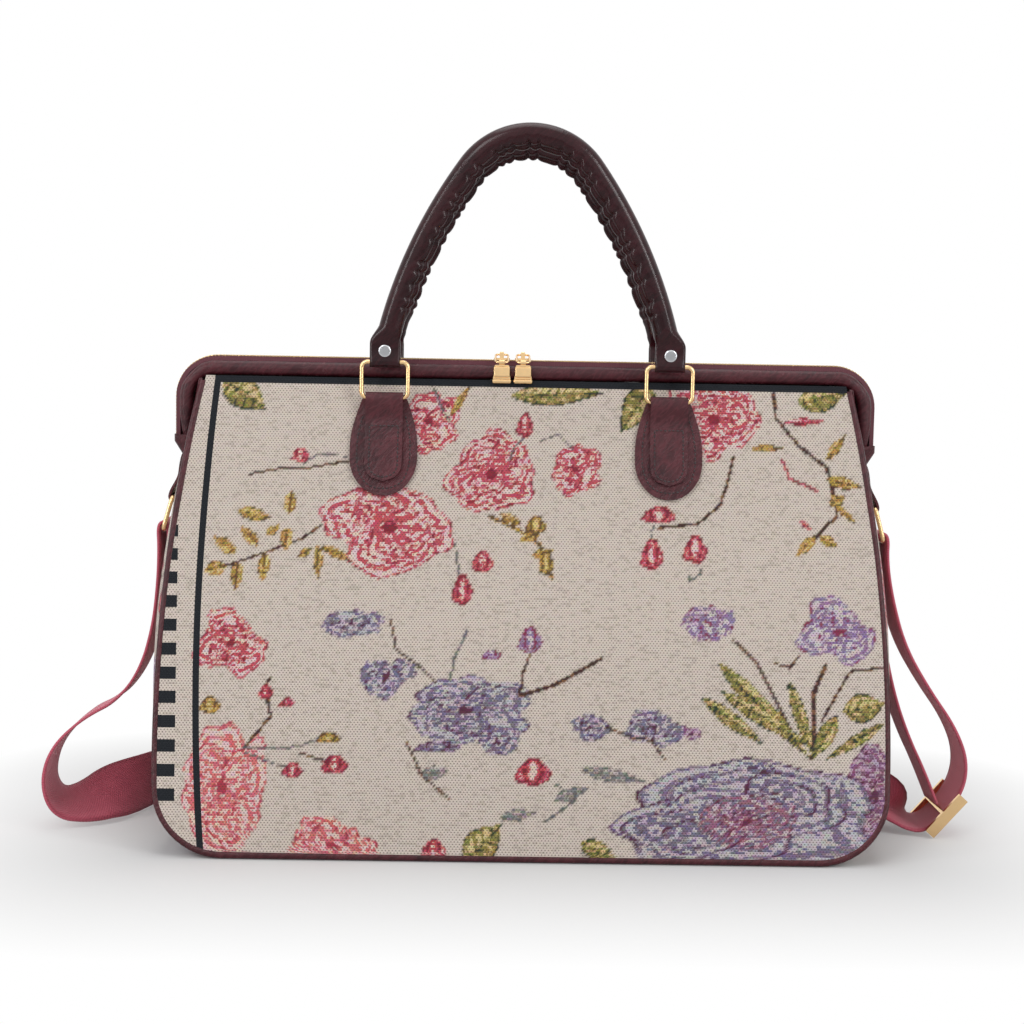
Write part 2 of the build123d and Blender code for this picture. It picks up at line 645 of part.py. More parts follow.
def make_buckle():
    """Slide buckle: end rails on one face of the strap and a middle bar on the other."""
    foot = Vector(*BUCKLE_FOOT[:3])
    head = Vector(*BUCKLE_HEAD[:3])
    ahead = (head - foot).normalized()
    plane = Plane(origin=(foot + head) / 2, x_dir=width_direction(0, ahead), z_dir=ahead)
    stand = STRAP_THICKNESS / 2 + BUCKLE_GAP + BUCKLE_RAIL / 2
    side = Box(BUCKLE_RAIL, 2 * stand + BUCKLE_RAIL, BUCKLE_LENGTH)
    bar = Box(BUCKLE_WIDTH, BUCKLE_RAIL, BUCKLE_RAIL)
    side_x_place = (BUCKLE_WIDTH - BUCKLE_RAIL) / 2
    end_z = (BUCKLE_LENGTH - BUCKLE_RAIL) / 2
    buckle = Pos(side_x_place, 0, 0) * side + Pos(-side_x_place, 0, 0) * side
    buckle += Pos(0, -stand, end_z) * bar + Pos(0, -stand, -end_z) * bar + Pos(0, stand, 0) * bar
    return plane.location * buckle


def save(name, shape):
    export_step(shape, f"parts/{name}.step")


def save_front_and_back(name, shape):
    save(f"front_{name}", shape)
    save(f"back_{name}", mirror(shape, about=Plane.XZ))


os.makedirs("parts", exist_ok=True)

save("gusset", make_gusset())
save("base_board", make_base_board())
save_front_and_back("panel", make_panel())
save_front_and_back("piping", make_piping())
save_front_and_back("sleeve", make_sleeve())
save_front_and_back("frame_rod", sleeve_bar(ROD_DIAMETER / 2, FRAME_FOOT + ROD_END_INSET))
save_front_and_back("zip_tape", make_zip_tape())
save_front_and_back("zip_teeth", make_zip_teeth())

for hand, side in (("left", -1), ("right", 1)):
    place = ZIP_MEETING_X + side * SLIDER_SPACING / 2
    save(f"{hand}_slider", make_slider(place, -side))
    save(f"{hand}_link", make_link(place))
    save(f"{hand}_pull", make_pull(place))
    save_front_and_back(f"{hand}_ring", make_ring(side * RING_HALF_SPACING))
    save_front_and_back(f"{hand}_patch", make_patch(side * RING_HALF_SPACING))
    save_front_and_back(f"{hand}_loop", make_loop(side * RING_HALF_SPACING))

save_front_and_back("handle_cover", make_handle_cover())
save_front_and_back("handle_core", make_handle_core())
save_front_and_back("handle_rivets", make_rivets())

save("right_side_tab", make_side_tab())
save("left_side_tab", mirror(make_side_tab(), about=Plane.YZ))
save("right_side_ring", make_side_ring())
save("left_side_ring", mirror(make_side_ring(), about=Plane.YZ))
save("strap", make_strap())
save("strap_buckle", make_buckle())
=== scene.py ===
import bmesh
import bpy
import numpy as np
from math import cos, pi, radians, sin
from mathutils import Matrix, Vector


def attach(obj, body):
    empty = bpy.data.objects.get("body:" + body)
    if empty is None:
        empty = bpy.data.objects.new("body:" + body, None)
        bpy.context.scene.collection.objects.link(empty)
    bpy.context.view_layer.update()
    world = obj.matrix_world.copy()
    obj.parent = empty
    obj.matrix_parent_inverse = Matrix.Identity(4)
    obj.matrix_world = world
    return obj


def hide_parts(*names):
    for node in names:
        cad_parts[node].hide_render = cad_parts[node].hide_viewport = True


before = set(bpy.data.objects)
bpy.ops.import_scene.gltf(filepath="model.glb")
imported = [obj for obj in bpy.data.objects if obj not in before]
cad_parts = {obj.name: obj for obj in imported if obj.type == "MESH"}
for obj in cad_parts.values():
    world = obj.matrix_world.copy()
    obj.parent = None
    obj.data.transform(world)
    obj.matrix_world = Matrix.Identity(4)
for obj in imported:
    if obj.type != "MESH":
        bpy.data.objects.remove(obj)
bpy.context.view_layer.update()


# Front and back panels of floral tapestry cloth, swelled out by what is packed inside.
# The flowers are woven with coloured threads that show as short dashes on a cream ground.
ENDS = (("front", -1), ("back", 1))
LEAN = radians(15.859)
PANEL_LENGTH = 0.3202
PANEL_BASE_Y = 0.100
SIDE_CENTRE = (-0.88699, 0.10611)
SIDE_RADIUS = 1.12799
CORNER_RADIUS = 0.044
CLOTH_HALF = 0.0015
SEAM_INSET = 0.0042
SWELL = 0.009
SWELL_HALF = 0.2475
SWELL_TOP = 0.2387
PANEL_TOP_GAP = 0.0006
PANEL_ROWS = 196
PANEL_COLUMNS = 296


class Value:
    """A socket in a material's node tree. Arithmetic on it adds math nodes."""

    def __init__(self, look, socket):
        self.look = look
        self.socket = socket

    def math(self, operation, *others):
        node = self.look.tree.nodes.new("ShaderNodeMath")
        node.operation = operation
        for place, value in zip(node.inputs, (self, *others)):
            self.look.set(place, value)
        return Value(self.look, node.outputs[0])

    def __add__(self, other):
        return self.math("ADD", other)

    def __sub__(self, other):
        return self.math("SUBTRACT", other)

    def __mul__(self, other):
        return self.math("MULTIPLY", other)

    def __truediv__(self, other):
        return self.math("DIVIDE", other)

    def __rsub__(self, other):
        return self * -1 + other

    __radd__ = __add__
    __rmul__ = __mul__


class Look:
    """One material: its main shader, and a method that adds any other node."""

    def __init__(self, name, constants):
        self.material = bpy.data.materials.new(name)
        self.material.use_nodes = True
        self.tree = self.material.node_tree
        self.shader = self.tree.nodes["Principled BSDF"]
        for socket, value in constants.items():
            self.set(self.shader.inputs[socket], value)

    def set(self, socket, value):
        if isinstance(value, Value):
            self.tree.links.new(value.socket, socket)
        else:
            socket.default_value = value

    def add(self, kind, inputs, output=0, **settings):
        node = self.tree.nodes.new("ShaderNode" + kind)
        for setting, value in settings.items():
            setattr(node, setting, value)
        for socket, value in inputs.items():
            self.set(node.inputs[socket], value)
        return Value(self, node.outputs[output])

    def split(self, vector):
        node = self.tree.nodes.new("ShaderNodeSeparateXYZ")
        self.set(node.inputs[0], vector)
        return [Value(self, socket) for socket in node.outputs]

    def place(self):
        return self.add("TexCoord", {}, output=3)

    def mix(self, share, first, second):
        inputs = {0: share, 6: first, 7: second}
        return self.add("Mix", inputs, output=2, data_type="RGBA")

    def finish(self, colour, roughness, height, depth):
        bump = self.add("Bump", {"Height": height, "Distance": depth, "Strength": 1.0})
        for socket, value in (("Base Color", colour), ("Roughness", roughness), ("Normal", bump)):
            self.set(self.shader.inputs[socket], value)
        return self.material


def linear(red, green, blue):
    """Linear colour of an everyday 0 to 255 colour."""
    share = np.array([red, green, blue]) / 255
    low = share / 12.92
    high = ((share + 0.055) / 1.055) ** 2.4
    return np.where(share < 0.04045, low, high)


def tint(red, green, blue):
    return (*linear(red, green, blue), 1)


def show(name, data):
    """New object in the scene."""
    piece = bpy.data.objects.new(name, data)
    bpy.context.scene.collection.objects.link(piece)
    return piece


def put(name, mesh, material, body, slot, *nodes):
    """New object that rides on a body and stands for CAD nodes."""
    piece = show(name, mesh)
    piece.data.materials.append(material)
    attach(piece, body)
    if nodes:
        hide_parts(*nodes)
    return piece


def finished(name, shell):
    """Mesh of a bmesh that is done with."""
    mesh = bpy.data.meshes.new(name)
    shell.to_mesh(mesh)
    shell.free()
    return mesh


def grid_mesh(name, points, closed=False):
    """Smooth mesh of a rows by columns array of points."""
    rows, columns = points.shape[:2]
    shell = bmesh.new()
    bmesh.ops.create_grid(shell, x_segments=columns - 1, y_segments=rows - 1)
    shell.verts.ensure_lookup_table()
    for vertex, point in zip(shell.verts, points.reshape(-1, 3)):
        vertex.co = point
    if closed:
        bmesh.ops.remove_doubles(shell, verts=shell.verts, dist=0.00002)
    for face in shell.faces:
        face.smooth = True
    return finished(name, shell)


def half_width(rise, inset):
    """Half width of the panel at a rise, drawn in by an inset, round at the base corners."""
    wide = SIDE_CENTRE[0] + np.sqrt((SIDE_RADIUS - inset) ** 2 - (rise - SIDE_CENTRE[1]) ** 2)
    corner = CORNER_RADIUS - inset
    low = np.clip(CORNER_RADIUS - rise, 0, corner)
    return wide - corner + np.sqrt(corner**2 - low**2)


def swell(across, rise):
    """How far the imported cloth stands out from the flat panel."""
    inner = 1 - np.clip(np.abs(across) / SWELL_HALF, 0, 1) ** 2.6
    up = np.sin(pi * np.clip(rise / SWELL_TOP, 0, 1) ** 0.85).clip(0) ** 1.2
    ripple = np.sin(across * 41 + rise * 23) + np.sin(across * 19 - rise * 47 + 1)
    return SWELL * inner * up * (1 + 0.05 * ripple)


def panel_point(across, rise, lift, way):
    """Place on the front (way -1) or back (way 1) panel, lifted off the cloth's middle."""
    across, rise, lift = np.broadcast_arrays(across, rise, lift)
    out = lift + swell(across, rise)
    y = PANEL_BASE_Y - rise * sin(LEAN) + out * cos(LEAN)
    return np.stack([across, way * y, rise * cos(LEAN) + out * sin(LEAN)], axis=-1)


PALETTES = {
    "rose": [(206, 186, 180), (186, 76, 88), (128, 36, 52)],
    "pale_rose": [(208, 184, 177), (202, 104, 108), (160, 56, 70)],
    "lilac": [(178, 172, 177), (118, 106, 128), (84, 42, 66)],
    "violet": [(170, 150, 164), (130, 82, 112), (86, 42, 66)],
    "heart": [(182, 170, 176), (146, 94, 116), (104, 40, 64)],
    "tulip": [(190, 180, 184), (138, 112, 146), (130, 46, 76)],
    "green": [(200, 182, 134), (138, 126, 66), (46, 54, 38)],
    "gold": [(200, 182, 128), (170, 136, 66), (96, 70, 42)],
    "twig": [(150, 124, 96), (112, 84, 58), (66, 42, 38)],
    "grey": [(178, 172, 164), (132, 128, 124), (98, 96, 96)],
}
GROUND = [(199, 187, 177), (186, 173, 162)]
# Weave in mm: pitch of the rows and of the pin dots, and the length of a thread dash
ROW_PITCH = 1.5
DOT_PITCH = 2.2
DASH_LENGTH = 3.1
# Black border in mm: a bowed stripe, blocks beside the left seam and a band along the top
STRIPE_ACROSS = -214.2
STRIPE_HALF = 2.15
STRIPE_MIDDLE = 175
BLOCKS_ACROSS = -222.1
BLOCKS_LOW = 36.0
BLOCKS_HIGH = 224.0
BLOCK_PITCH = 15.7
BAND_LOW = 314.8
BAND_LEFT = -209.0
# Flowers: threads, place across and up in mm, half width, half height, rings of petals, turn
FLOWERS = [
    ("pale_rose", -193, 45, 29, 43, 3, 0.2),
    ("pale_rose", -122, 10, 29, 19, 3, 1.0),
    ("rose", -191, 138, 24, 22, 3, 0.9),
    ("rose", -65, 290, 20, 21, 2, 0.3),
    ("rose", -23, 255, 33, 30, 3, 0.6),
    ("rose", -90, 217, 46, 35, 3, 0.0),
    ("rose", 126, 295, 34, 31, 3, 2.2),
    ("rose", 33, 259, 18, 17, 2, 0.4),
    ("lilac", -113, 152, 22, 9, 2, 0.3),
    ("lilac", -89, 118, 18, 14, 2, 2.0),
    ("lilac", -37, 97, 43, 22, 3, 0.4),
    ("lilac", -16, 77, 15, 9, 2, 0.2),
    ("lilac", 44, 87, 13, 10, 2, 0.0),
    ("lilac", 85, 87, 20, 13, 2, 1.0),
    ("violet", 110, 84, 6, 5, 1, 0.0),
    ("violet", 229, 46, 17, 40, 2, 0.0),
    ("lilac", 142, 30, 94, 40, 4, 0.5),
    ("heart", 144, 28, 34, 17, 3, 0.2),
    ("tulip", 120, 156, 19, 12, 2, 0.2),
    ("tulip", 206, 152, 26, 22, 2, 0.9),
]
# Buds: threads, place across and up, half width, half height
BUDS = [
    ("rose", 84, 202, 8.6, 11.4),
    ("rose", 113, 206, 9.3, 10.1),
    ("rose", -28, 195, 8.6, 8.0),
    ("rose", -41, 176, 7.9, 10.6),
    ("tulip", 4, 143, 9.2, 9.2),
    ("rose", -151, 266, 6.7, 5.5),
    ("rose", -167, 107, 5.2, 5.2),
    ("rose", -153, 100, 5.8, 3.2),
    ("rose", -148, 57, 7.7, 5.1),
    ("rose", -121, 61, 9.7, 6.4),
    ("rose", -1, 289, 6.7, 9.0),
    ("rose", 7, 58, 13.6, 9.0),
    ("rose", -56, 8, 9.6, 6.9),
    ("gold", -125, 78, 8.4, 3.9),
    ("gold", -203, 98, 7.8, 5.8),
    ("tulip", -21, 133, 7.2, 3.9),
    ("rose", 89, 229, 13.3, 6.1),
    ("lilac", -55, 73, 17.5, 3.9),
    ("gold", 7, 221, 8.0, 6.7),
    ("gold", 14, 195, 5.9, 8.7),
]
# Leaves: threads, foot across and up, tip across and up, half width
LEAVES = [
    ("green", -205, 317, -175, 297, 11.1),
    ("green", -11, 309, 53, 312, 7.8),
    ("green", 84, 319, 64, 285, 10.4),
    ("green", 183, 307, 217, 316, 10.4),
    ("gold", -191, 227, -168, 222, 4.5),
    ("gold", -157, 225, -156, 242, 4.5),
    ("gold", -176, 203, -189, 217, 3.9),
    ("gold", -171, 210, -163, 218, 3.2),
    ("gold", -158, 216, -158, 200, 4.5),
    ("gold", -191, 198, -207, 210, 4.5),
    ("gold", -197, 189, -212, 186, 5.2),
    ("gold", -189, 193, -190, 173, 4.5),
    ("gold", -171, 199, -173, 178, 3.9),
    ("gold", -137, 205, -136, 181, 3.2),
    ("gold", -135, 204, -113, 193, 3.2),
    ("gold", -141, 202, -150, 196, 2.6),
    ("gold", 202, 268, 215, 286, 3.2),
    ("gold", 202, 255, 225, 250, 4.5),
    ("gold", 204, 237, 214, 245, 4.5),
    ("gold", 207, 238, 222, 224, 2.6),
    ("gold", 193, 216, 180, 202, 3.9),
    ("gold", 196, 216, 208, 209, 3.9),
    ("gold", 151, 275, 173, 276, 2.6),
    ("rose", 173, 294, 203, 295, 2.6),
    ("rose", 183, 227, 191, 220, 2.0),
    ("gold", -17, 228, -2, 220, 3.2),
    ("gold", -4, 210, 10, 214, 3.2),
    ("gold", 5, 199, 19, 204, 3.2),
    ("gold", -51, 294, -38, 317, 2.6),
    ("green", 127, 130, 187, 69, 6.5),
    ("green", 116, 107, 157, 77, 5.2),
    ("green", 129, 111, 186, 77, 5.9),
    ("green", 173, 120, 189, 69, 4.5),
    ("green", 205, 97, 188, 69, 5.9),
    ("green", 209, 99, 237, 106, 9.8),
    ("green", 237, 93, 196, 68, 3.9),
    ("green", 38, 14, 62, 1, 6.5),
    ("green", -36, 0, -13, 24, 11.1),
    ("grey", 37, 60, 82, 52, 4.5),
    ("grey", -15, 28, 10, 32, 3.9),
    ("grey", 21, 40, 43, 48, 3.9),
    ("grey", -65, 55, -47, 58, 4.5),
]
# Stems: threads, half width, places across and up
STEMS = [
    ("twig", 0.9, [(-198, 189), (-171, 199), (-147, 209), (-135, 218)]),
    ("twig", 0.8, [(-184, 252), (-164, 256), (-145, 257), (-119, 262)]),
    ("grey", 0.7, [(-148, 260), (-138, 267), (-120, 265)]),
    ("grey", 0.8, [(-64, 316), (-57, 299), (-51, 290)]),
    ("grey", 0.7, [(-46, 206), (-45, 196), (-43, 185)]),
    ("grey", 0.7, [(-1, 280), (-8, 273), (-11, 264)]),
    ("grey", 0.7, [(10, 278), (21, 283), (31, 273)]),
    ("twig", 1.2, [(167, 314), (168, 297), (183, 278), (202, 263), (206, 246), (208, 230), (193, 215)]),
    ("rose", 1.0, [(172, 268), (177, 255), (196, 247)]),
    ("twig", 1.0, [(139, 269), (136, 254), (130, 236), (115, 223), (89, 220)]),
    ("grey", 0.7, [(86, 221), (83, 217), (84, 211)]),
    ("grey", 0.7, [(115, 198), (116, 189), (108, 183), (108, 188)]),
    ("twig", 0.8, [(-87, 154), (-83, 135), (-67, 124), (-57, 114)]),
    ("twig", 0.9, [(-75, 76), (-65, 55), (-47, 40)]),
    ("grey", 0.8, [(-37, 148), (-46, 128), (-47, 115)]),
    ("twig", 0.9, [(4, 133), (0, 122), (-2, 108)]),
    ("twig", 1.3, [(-2, 106), (23, 115), (50, 131)]),
    ("twig", 0.8, [(54, 87), (70, 81), (83, 79), (92, 67)]),
    ("twig", 1.0, [(-165, 116), (-167, 107), (-163, 91), (-180, 70)]),
    ("grey", 0.8, [(-180, 70), (-160, 70), (-144, 72), (-128, 78)]),
    ("grey", 0.7, [(-180, 68), (-159, 60), (-150, 58)]),
    ("twig", 0.9, [(-144, 68), (-132, 64), (-124, 62)]),
    ("twig", 0.9, [(137, 145), (152, 131), (161, 113), (174, 87)]),
    ("twig", 1.5, [(198, 130), (190, 112), (188, 69)]),
    ("twig", 0.9, [(181, 136), (174, 128), (165, 130)]),
    ("twig", 0.9, [(236, 129), (214, 126), (195, 94)]),
    ("grey", 0.8, [(22, 50), (34, 40), (15, 26)]),
    ("gold", 1.3, [(-24, 226), (-3, 216), (10, 207), (18, 185)]),
]


def near(across, up, places):
    """Distance of each place on the cloth from a line of points."""
    nearest = np.full(across.shape, 1e9)
    for (x, y), (next_x, next_y) in zip(places, places[1:]):
        run_x, run_y = next_x - x, next_y - y
        share = ((across - x) * run_x + (up - y) * run_y) / (run_x**2 + run_y**2)
        share = np.clip(share, 0, 1)
        nearest = np.minimum(nearest, np.hypot(across - x - share * run_x, up - y - share * run_y))
    return nearest


def petal_tone(x, y, rings, turn, line):
    """Tone of a flower on its unit disc, petal over petal from the rim inwards, and -1 off it."""
    tone = np.full(x.shape, -1.0)
    wavy_x = x + 0.08 * np.sin(4.1 * y + 5 * turn) + 0.04 * np.sin(11 * y - 4 * x + turn)
    wavy_y = y + 0.08 * np.sin(3.7 * x + 7 * turn) + 0.04 * np.sin(10 * x + 3 * y + 2 * turn)
    for ring in range(rings):
        size = 1 - ring / (rings + 0.4)
        count = 7 - ring
        for petal in range(count):
            angle = turn + 1.3 * ring + 2 * pi * (petal + 0.3 * sin(5 * petal + turn)) / count
            grown = size * (0.94 + 0.16 * sin(3 * petal + 4 * ring + 6 * turn))
            out = wavy_x * cos(angle) + wavy_y * sin(angle) - 0.55 * grown
            beside = wavy_y * cos(angle) - wavy_x * sin(angle)
            reach = np.hypot(out / (0.42 * grown), beside / (0.52 * grown))
            rim = np.exp(-(((1 - reach) / line) ** 2)) * (0.74 + 0.26 * np.sin(9 * beside / size + 2 * petal))
            fold = 0.5 * np.exp(-(((reach - 0.6) / line) ** 2)) * np.clip(2.4 * out / grown + 0.4, 0, 1)
            streak = 0.4 * np.abs(np.sin(beside / size * 15)) * np.clip(0.25 - out / grown, 0, 1)
            base = 0.19 - line + 0.12 * ring / rings
            fresh = base + (1.0 if ring else 0.85) * np.maximum(rim, fold) + streak
            tone = np.where(reach < 1, fresh, tone)
    return np.where(np.hypot(x, y) < 0.12, 0.85, tone)


def bud_tone(x, y):
    """Tone of a closed bud on its unit disc: a dark outline and two petal edges, and -1 off it."""
    reach = np.hypot(x / (0.82 - 0.34 * y), y) + 0.07 * np.sin(6 * x - 5 * y)
    rim = np.exp(-(((1 - reach) / 0.26) ** 2))
    fold = np.exp(-(((np.abs(x) - 0.42 * (1 - y * y)) / 0.15) ** 2))
    return np.where(reach < 1, 0.16 + 0.74 * np.maximum(rim, fold), -1)


def leaf_tone(across, up, foot, tip, half):
    """Tone of a leaf: a pale and a full half, dark rim, middle rib and slanting veins, and -1 off it."""
    run = np.array(tip) - np.array(foot)
    length = np.hypot(*run)
    along = ((across - foot[0]) * run[0] + (up - foot[1]) * run[1]) / length**2
    beside = ((up - foot[1]) * run[0] - (across - foot[0]) * run[1]) / length
    width = half * np.sin(pi * np.clip(along, 0, 1) ** 0.8) + 0.01
    share = np.abs(beside) / width
    vein = np.abs(((along * length - 0.7 * np.abs(beside)) / (0.5 * half + 1.6)) % 1 - 0.5)
    rim = np.exp(-(((1 - share) / 0.22) ** 2))
    rib = np.exp(-((beside / 0.7) ** 2))
    line = np.maximum(np.maximum(rim, rib), 1 - 6 * vein)
    tone = np.where(beside > 0, 0.14, 0.3) + 0.65 * line
    return np.where((share < 1) & (along > 0) & (along < 1), tone, -1)


def weave(mesh, across, up):
    """Store on a mesh the two thread colours, their share, the place on the cloth and where it is dyed."""
    colours = {name: [linear(*shade) for shade in shades] for name, shades in PALETTES.items()}
    ground = [linear(*colour) for colour in GROUND]
    first = np.tile(ground[0], (across.size, 1))
    second = np.tile(ground[1], (across.size, 1))
    share = np.full(across.size, 0.3)
    dyed = np.zeros(across.size)

    def lay(threads, spots, tone):
        pale, middle, dark = colours[threads]
        spots, tone = spots[tone >= 0], tone[tone >= 0]
        low = (tone < 0.5)[:, None]
        first[spots] = np.where(low, pale, middle)
        second[spots] = np.where(low, middle, dark)
        share[spots] = np.where(tone < 0.5, 2 * tone, 2 * tone - 1)
        dyed[spots] = 1

    def within(x, y, wide, high):
        return np.flatnonzero((np.abs(across - x) < wide) & (np.abs(up - y) < high))

    for threads, x, y, wide, high, rings, turn in FLOWERS:
        spots = within(x, y, 1.25 * wide, 1.25 * high)
        line = np.clip(5 / (wide + high), 0.07, 0.16)
        tone = petal_tone((across[spots] - x) / wide, (up[spots] - y) / high, rings, turn, line)
        lay(threads, spots, np.where(tone < 0.2, -1, tone) if threads == "heart" else tone)
    for threads, half, places in STEMS:
        spots = np.flatnonzero(near(across, up, places) < half)
        lay(threads, spots, np.full(spots.shape, 0.8))
    for threads, x, y, tip_x, tip_y, half in LEAVES:
        spots = within((x + tip_x) / 2, (y + tip_y) / 2, abs(tip_x - x) / 2 + half, abs(tip_y - y) / 2 + half)
        lay(threads, spots, leaf_tone(across[spots], up[spots], (x, y), (tip_x, tip_y), half))
    for threads, x, y, wide, high in BUDS:
        spots = within(x, y, wide, high)
        lay(threads, spots, bud_tone((across[spots] - x) / wide, (up[spots] - y) / high))
    alpha = np.ones((across.size, 1))
    for name, kind, field, data in (
        ("first", "FLOAT_COLOR", "color", np.hstack([first, alpha])),
        ("second", "FLOAT_COLOR", "color", np.hstack([second, alpha])),
        ("share", "FLOAT", "value", np.clip(share, 0, 1)),
        ("place", "FLOAT_VECTOR", "vector", np.stack([across, up, dyed], axis=-1)),
    ):
        attribute = mesh.attributes.new(name, kind, "POINT")
        attribute.data.foreach_set(field, np.asarray(data, np.float32).ravel())


def cloth_look():
    """Tapestry: rows of thread dashes in two colours, with a dark pin dot in each cell."""
    look = Look("tapestry", {"Sheen Weight": 0.15, "Specular IOR Level": 0.2})
    across, up, dyed = look.split(look.add("Attribute", {}, output=1, attribute_name="place"))
    row = (up / ROW_PITCH).math("FLOOR")
    column = across / DOT_PITCH + row.math("FLOORED_MODULO", 2.0) * 0.5
    start = look.add("TexWhiteNoise", {"W": row}, noise_dimensions="1D")
    dash = (across / DASH_LENGTH + start).math("FLOOR")
    spot = look.add("CombineXYZ", {"X": dash, "Y": row})
    chance = look.add("TexWhiteNoise", {"Vector": spot}, noise_dimensions="2D")
    share = look.add("Attribute", {}, output=2, attribute_name="share")
    first = look.add("Attribute", {}, output=0, attribute_name="first")
    second = look.add("Attribute", {}, output=0, attribute_name="second")
    strand = look.add("TexWhiteNoise", {"Vector": spot}, output=1, noise_dimensions="2D")
    plain = look.mix((chance * 0.5 + 0.22).math("LESS_THAN", share), first, second)
    colour = look.add("MixRGB", {0: dyed * 0.2 + 0.04, 1: plain, 2: strand}, blend_type="SOFT_LIGHT")
    beside = column.math("FRACT") - 0.5
    above = (up / ROW_PITCH).math("FRACT") - 0.5
    reach = (beside * beside * DOT_PITCH**2 + above * above * 3.2).math("SQRT")
    dot = reach.math("LESS_THAN", 0.46)
    dark = look.mix(dot * 0.72, colour, tint(68, 54, 50))
    bow = up - STRIPE_MIDDLE
    stripe = (across - STRIPE_ACROSS - bow * bow * 0.0003).math("ABSOLUTE").math("LESS_THAN", STRIPE_HALF)
    dashed = (up / BLOCK_PITCH - 2.29).math("FRACT").math("LESS_THAN", 0.51)
    beside_seam = (across + up * 0.036).math("LESS_THAN", BLOCKS_ACROSS)
    between = up.math("GREATER_THAN", BLOCKS_LOW) * up.math("LESS_THAN", BLOCKS_HIGH)
    band = up.math("GREATER_THAN", BAND_LOW) * across.math("GREATER_THAN", BAND_LEFT)
    black = stripe.math("MAXIMUM", beside_seam * between * dashed).math("MAXIMUM", band)
    dark = look.mix(black, dark, tint(20, 24, 30))
    height = (above * 2 * pi).math("COSINE") * 0.5 + (beside * 2 * pi).math("COSINE") * 0.35 - dot * 0.8
    return look.finish(dark, 0.88, height, 0.0002)


tapestry = cloth_look()
for end, way in ENDS:
    rise = np.linspace(SEAM_INSET, PANEL_LENGTH - PANEL_TOP_GAP, PANEL_ROWS)[:, None]
    across = half_width(rise, SEAM_INSET) * np.linspace(-1, 1, PANEL_COLUMNS)
    points = panel_point(across, rise, CLOTH_HALF, way)
    panel = grid_mesh(f"{end}_panel_cloth", points[:, :: -way])
    weave(panel, 1000 * (points[:, :: -way, 0] * -way).ravel(), 1000 * (rise + 0 * across).ravel())
    piece = put(f"{end}_panel_cloth", panel, tapestry, "bag", "cloth", f"{end}_panel")


# Gusset: one band of the same cloth round the sides and under the base.
# The sides swell out in two soft ridges, with a valley between them where the strap pulls.
GUSSET_TOP = 0.273
GUSSET_SEAM = 0.0030
GUSSET_SWELL = 0.011
GUSSET_LIFT = 0.0003
RIDGE_FOOT = 0.020
RIDGE_LENGTH = 0.280
VALLEY_WIDTH = 0.028


def run_along(points):
    """Length of a line of points up to each of them."""
    return np.concatenate([[0], np.cumsum(np.linalg.norm(np.diff(points, axis=0), axis=1))])


def gusset_line(inset, top, steps):
    """Rises and half widths down the right side and round the base corner."""
    straight = np.linspace(top, CORNER_RADIUS, steps)
    turn = np.linspace(0, pi / 2, 14)[1:]
    corner = CORNER_RADIUS - inset
    round_rise = CORNER_RADIUS - corner * np.sin(turn)
    rise = np.concatenate([straight, round_rise])
    return rise, half_width(rise, inset)


side_rise, side_half = gusset_line(0.0, GUSSET_TOP, 100)
base_across = np.linspace(side_half[-1], -side_half[-1], 90)[1:-1]
line_rise = np.concatenate([side_rise, 0 * base_across, side_rise[::-1]])
line_across = np.concatenate([side_half, base_across, -side_half[::-1]])
depth = PANEL_BASE_Y - line_rise * sin(LEAN) - GUSSET_SEAM
share = np.linspace(-1, 1, 61)
y = depth[:, None] * share
tall = np.sin(pi * np.clip((line_rise - RIDGE_FOOT) / RIDGE_LENGTH, 0, 1))[:, None]
valley = 1 - 0.93 * np.exp(-((y / VALLEY_WIDTH) ** 2))
out = GUSSET_SWELL * (1 - share**2) * tall * valley
x = line_across[:, None] + np.sign(line_across)[:, None] * out
z = line_rise[:, None] * cos(LEAN) + GUSSET_LIFT + 0 * y
gusset = grid_mesh("gusset_cloth", np.stack([x, y, z], axis=-1))
length = run_along(np.stack([line_across, line_rise], axis=-1))[-1]
place_across = np.where(line_across[:, None] > 0, -60 + 1000 * y, 60 - 1000 * y)
place_up = 1000 * line_rise[:, None] + 40 + 0 * y
flat = (line_rise < 0.002)[:, None]
place_across = np.where(flat, 1000 * x, place_across)
place_up = np.where(flat, 150 + 1000 * y, place_up)
weave(gusset, place_across.ravel(), np.clip(place_up, 0, 312).ravel())
gusset_piece = put("gusset_cloth", gusset, tapestry, "bag", "cloth", "gusset")


# Piping in the seams: a thin cord covered in burgundy imitation leather, round each panel.
# Fine creases from its leather material cross it all along.
PIPING_RADIUS = 0.0025
PIPING_INSET = 0.0028
PIPING_TOP = 0.3160


def leather_look(name, colour, light, roughness, grain, crease, depth):
    """Imitation leather: mottled colour, fine grain, and small crease lines coloured a little paler."""
    look = Look(name, {"Specular IOR Level": 0.28})
    place = look.place()
    cloud = look.add("TexNoise", {"Vector": place, "Scale": 46.0, "Detail": 6.0, "Roughness": 0.65})
    pores = look.add("TexVoronoi", {"Vector": place, "Scale": grain}, feature="DISTANCE_TO_EDGE")
    x, y, z = look.split(place)
    slants = {"X": (x + z) * crease, "Y": (z - x) * (4 * crease), "Z": y * (2 * crease)}
    slant = look.add("CombineXYZ", slants)
    crinkle = look.add("TexNoise", {"Vector": slant, "Scale": 1.0, "Detail": 3.0, "Distortion": 0.5})
    lines = (1 - (crinkle - 0.5).math("ABSOLUTE") * 11).math("MAXIMUM", 0.0)
    shade = look.mix((cloud - 0.3) * 2.4, tint(*colour), tint(*light))
    # The crease lines are mixed a little paler than the leather.
    paler_creases = look.mix(lines * 0.35, shade, tint(*[min(255, 1.25 * part + 8) for part in light]))
    rough = cloud * 0.16 + (roughness - 0.08)
    height = pores.math("MINIMUM", 0.12) * 1.4 + cloud * 0.6 + lines * 0.5
    return look.finish(paler_creases, rough, height, depth)


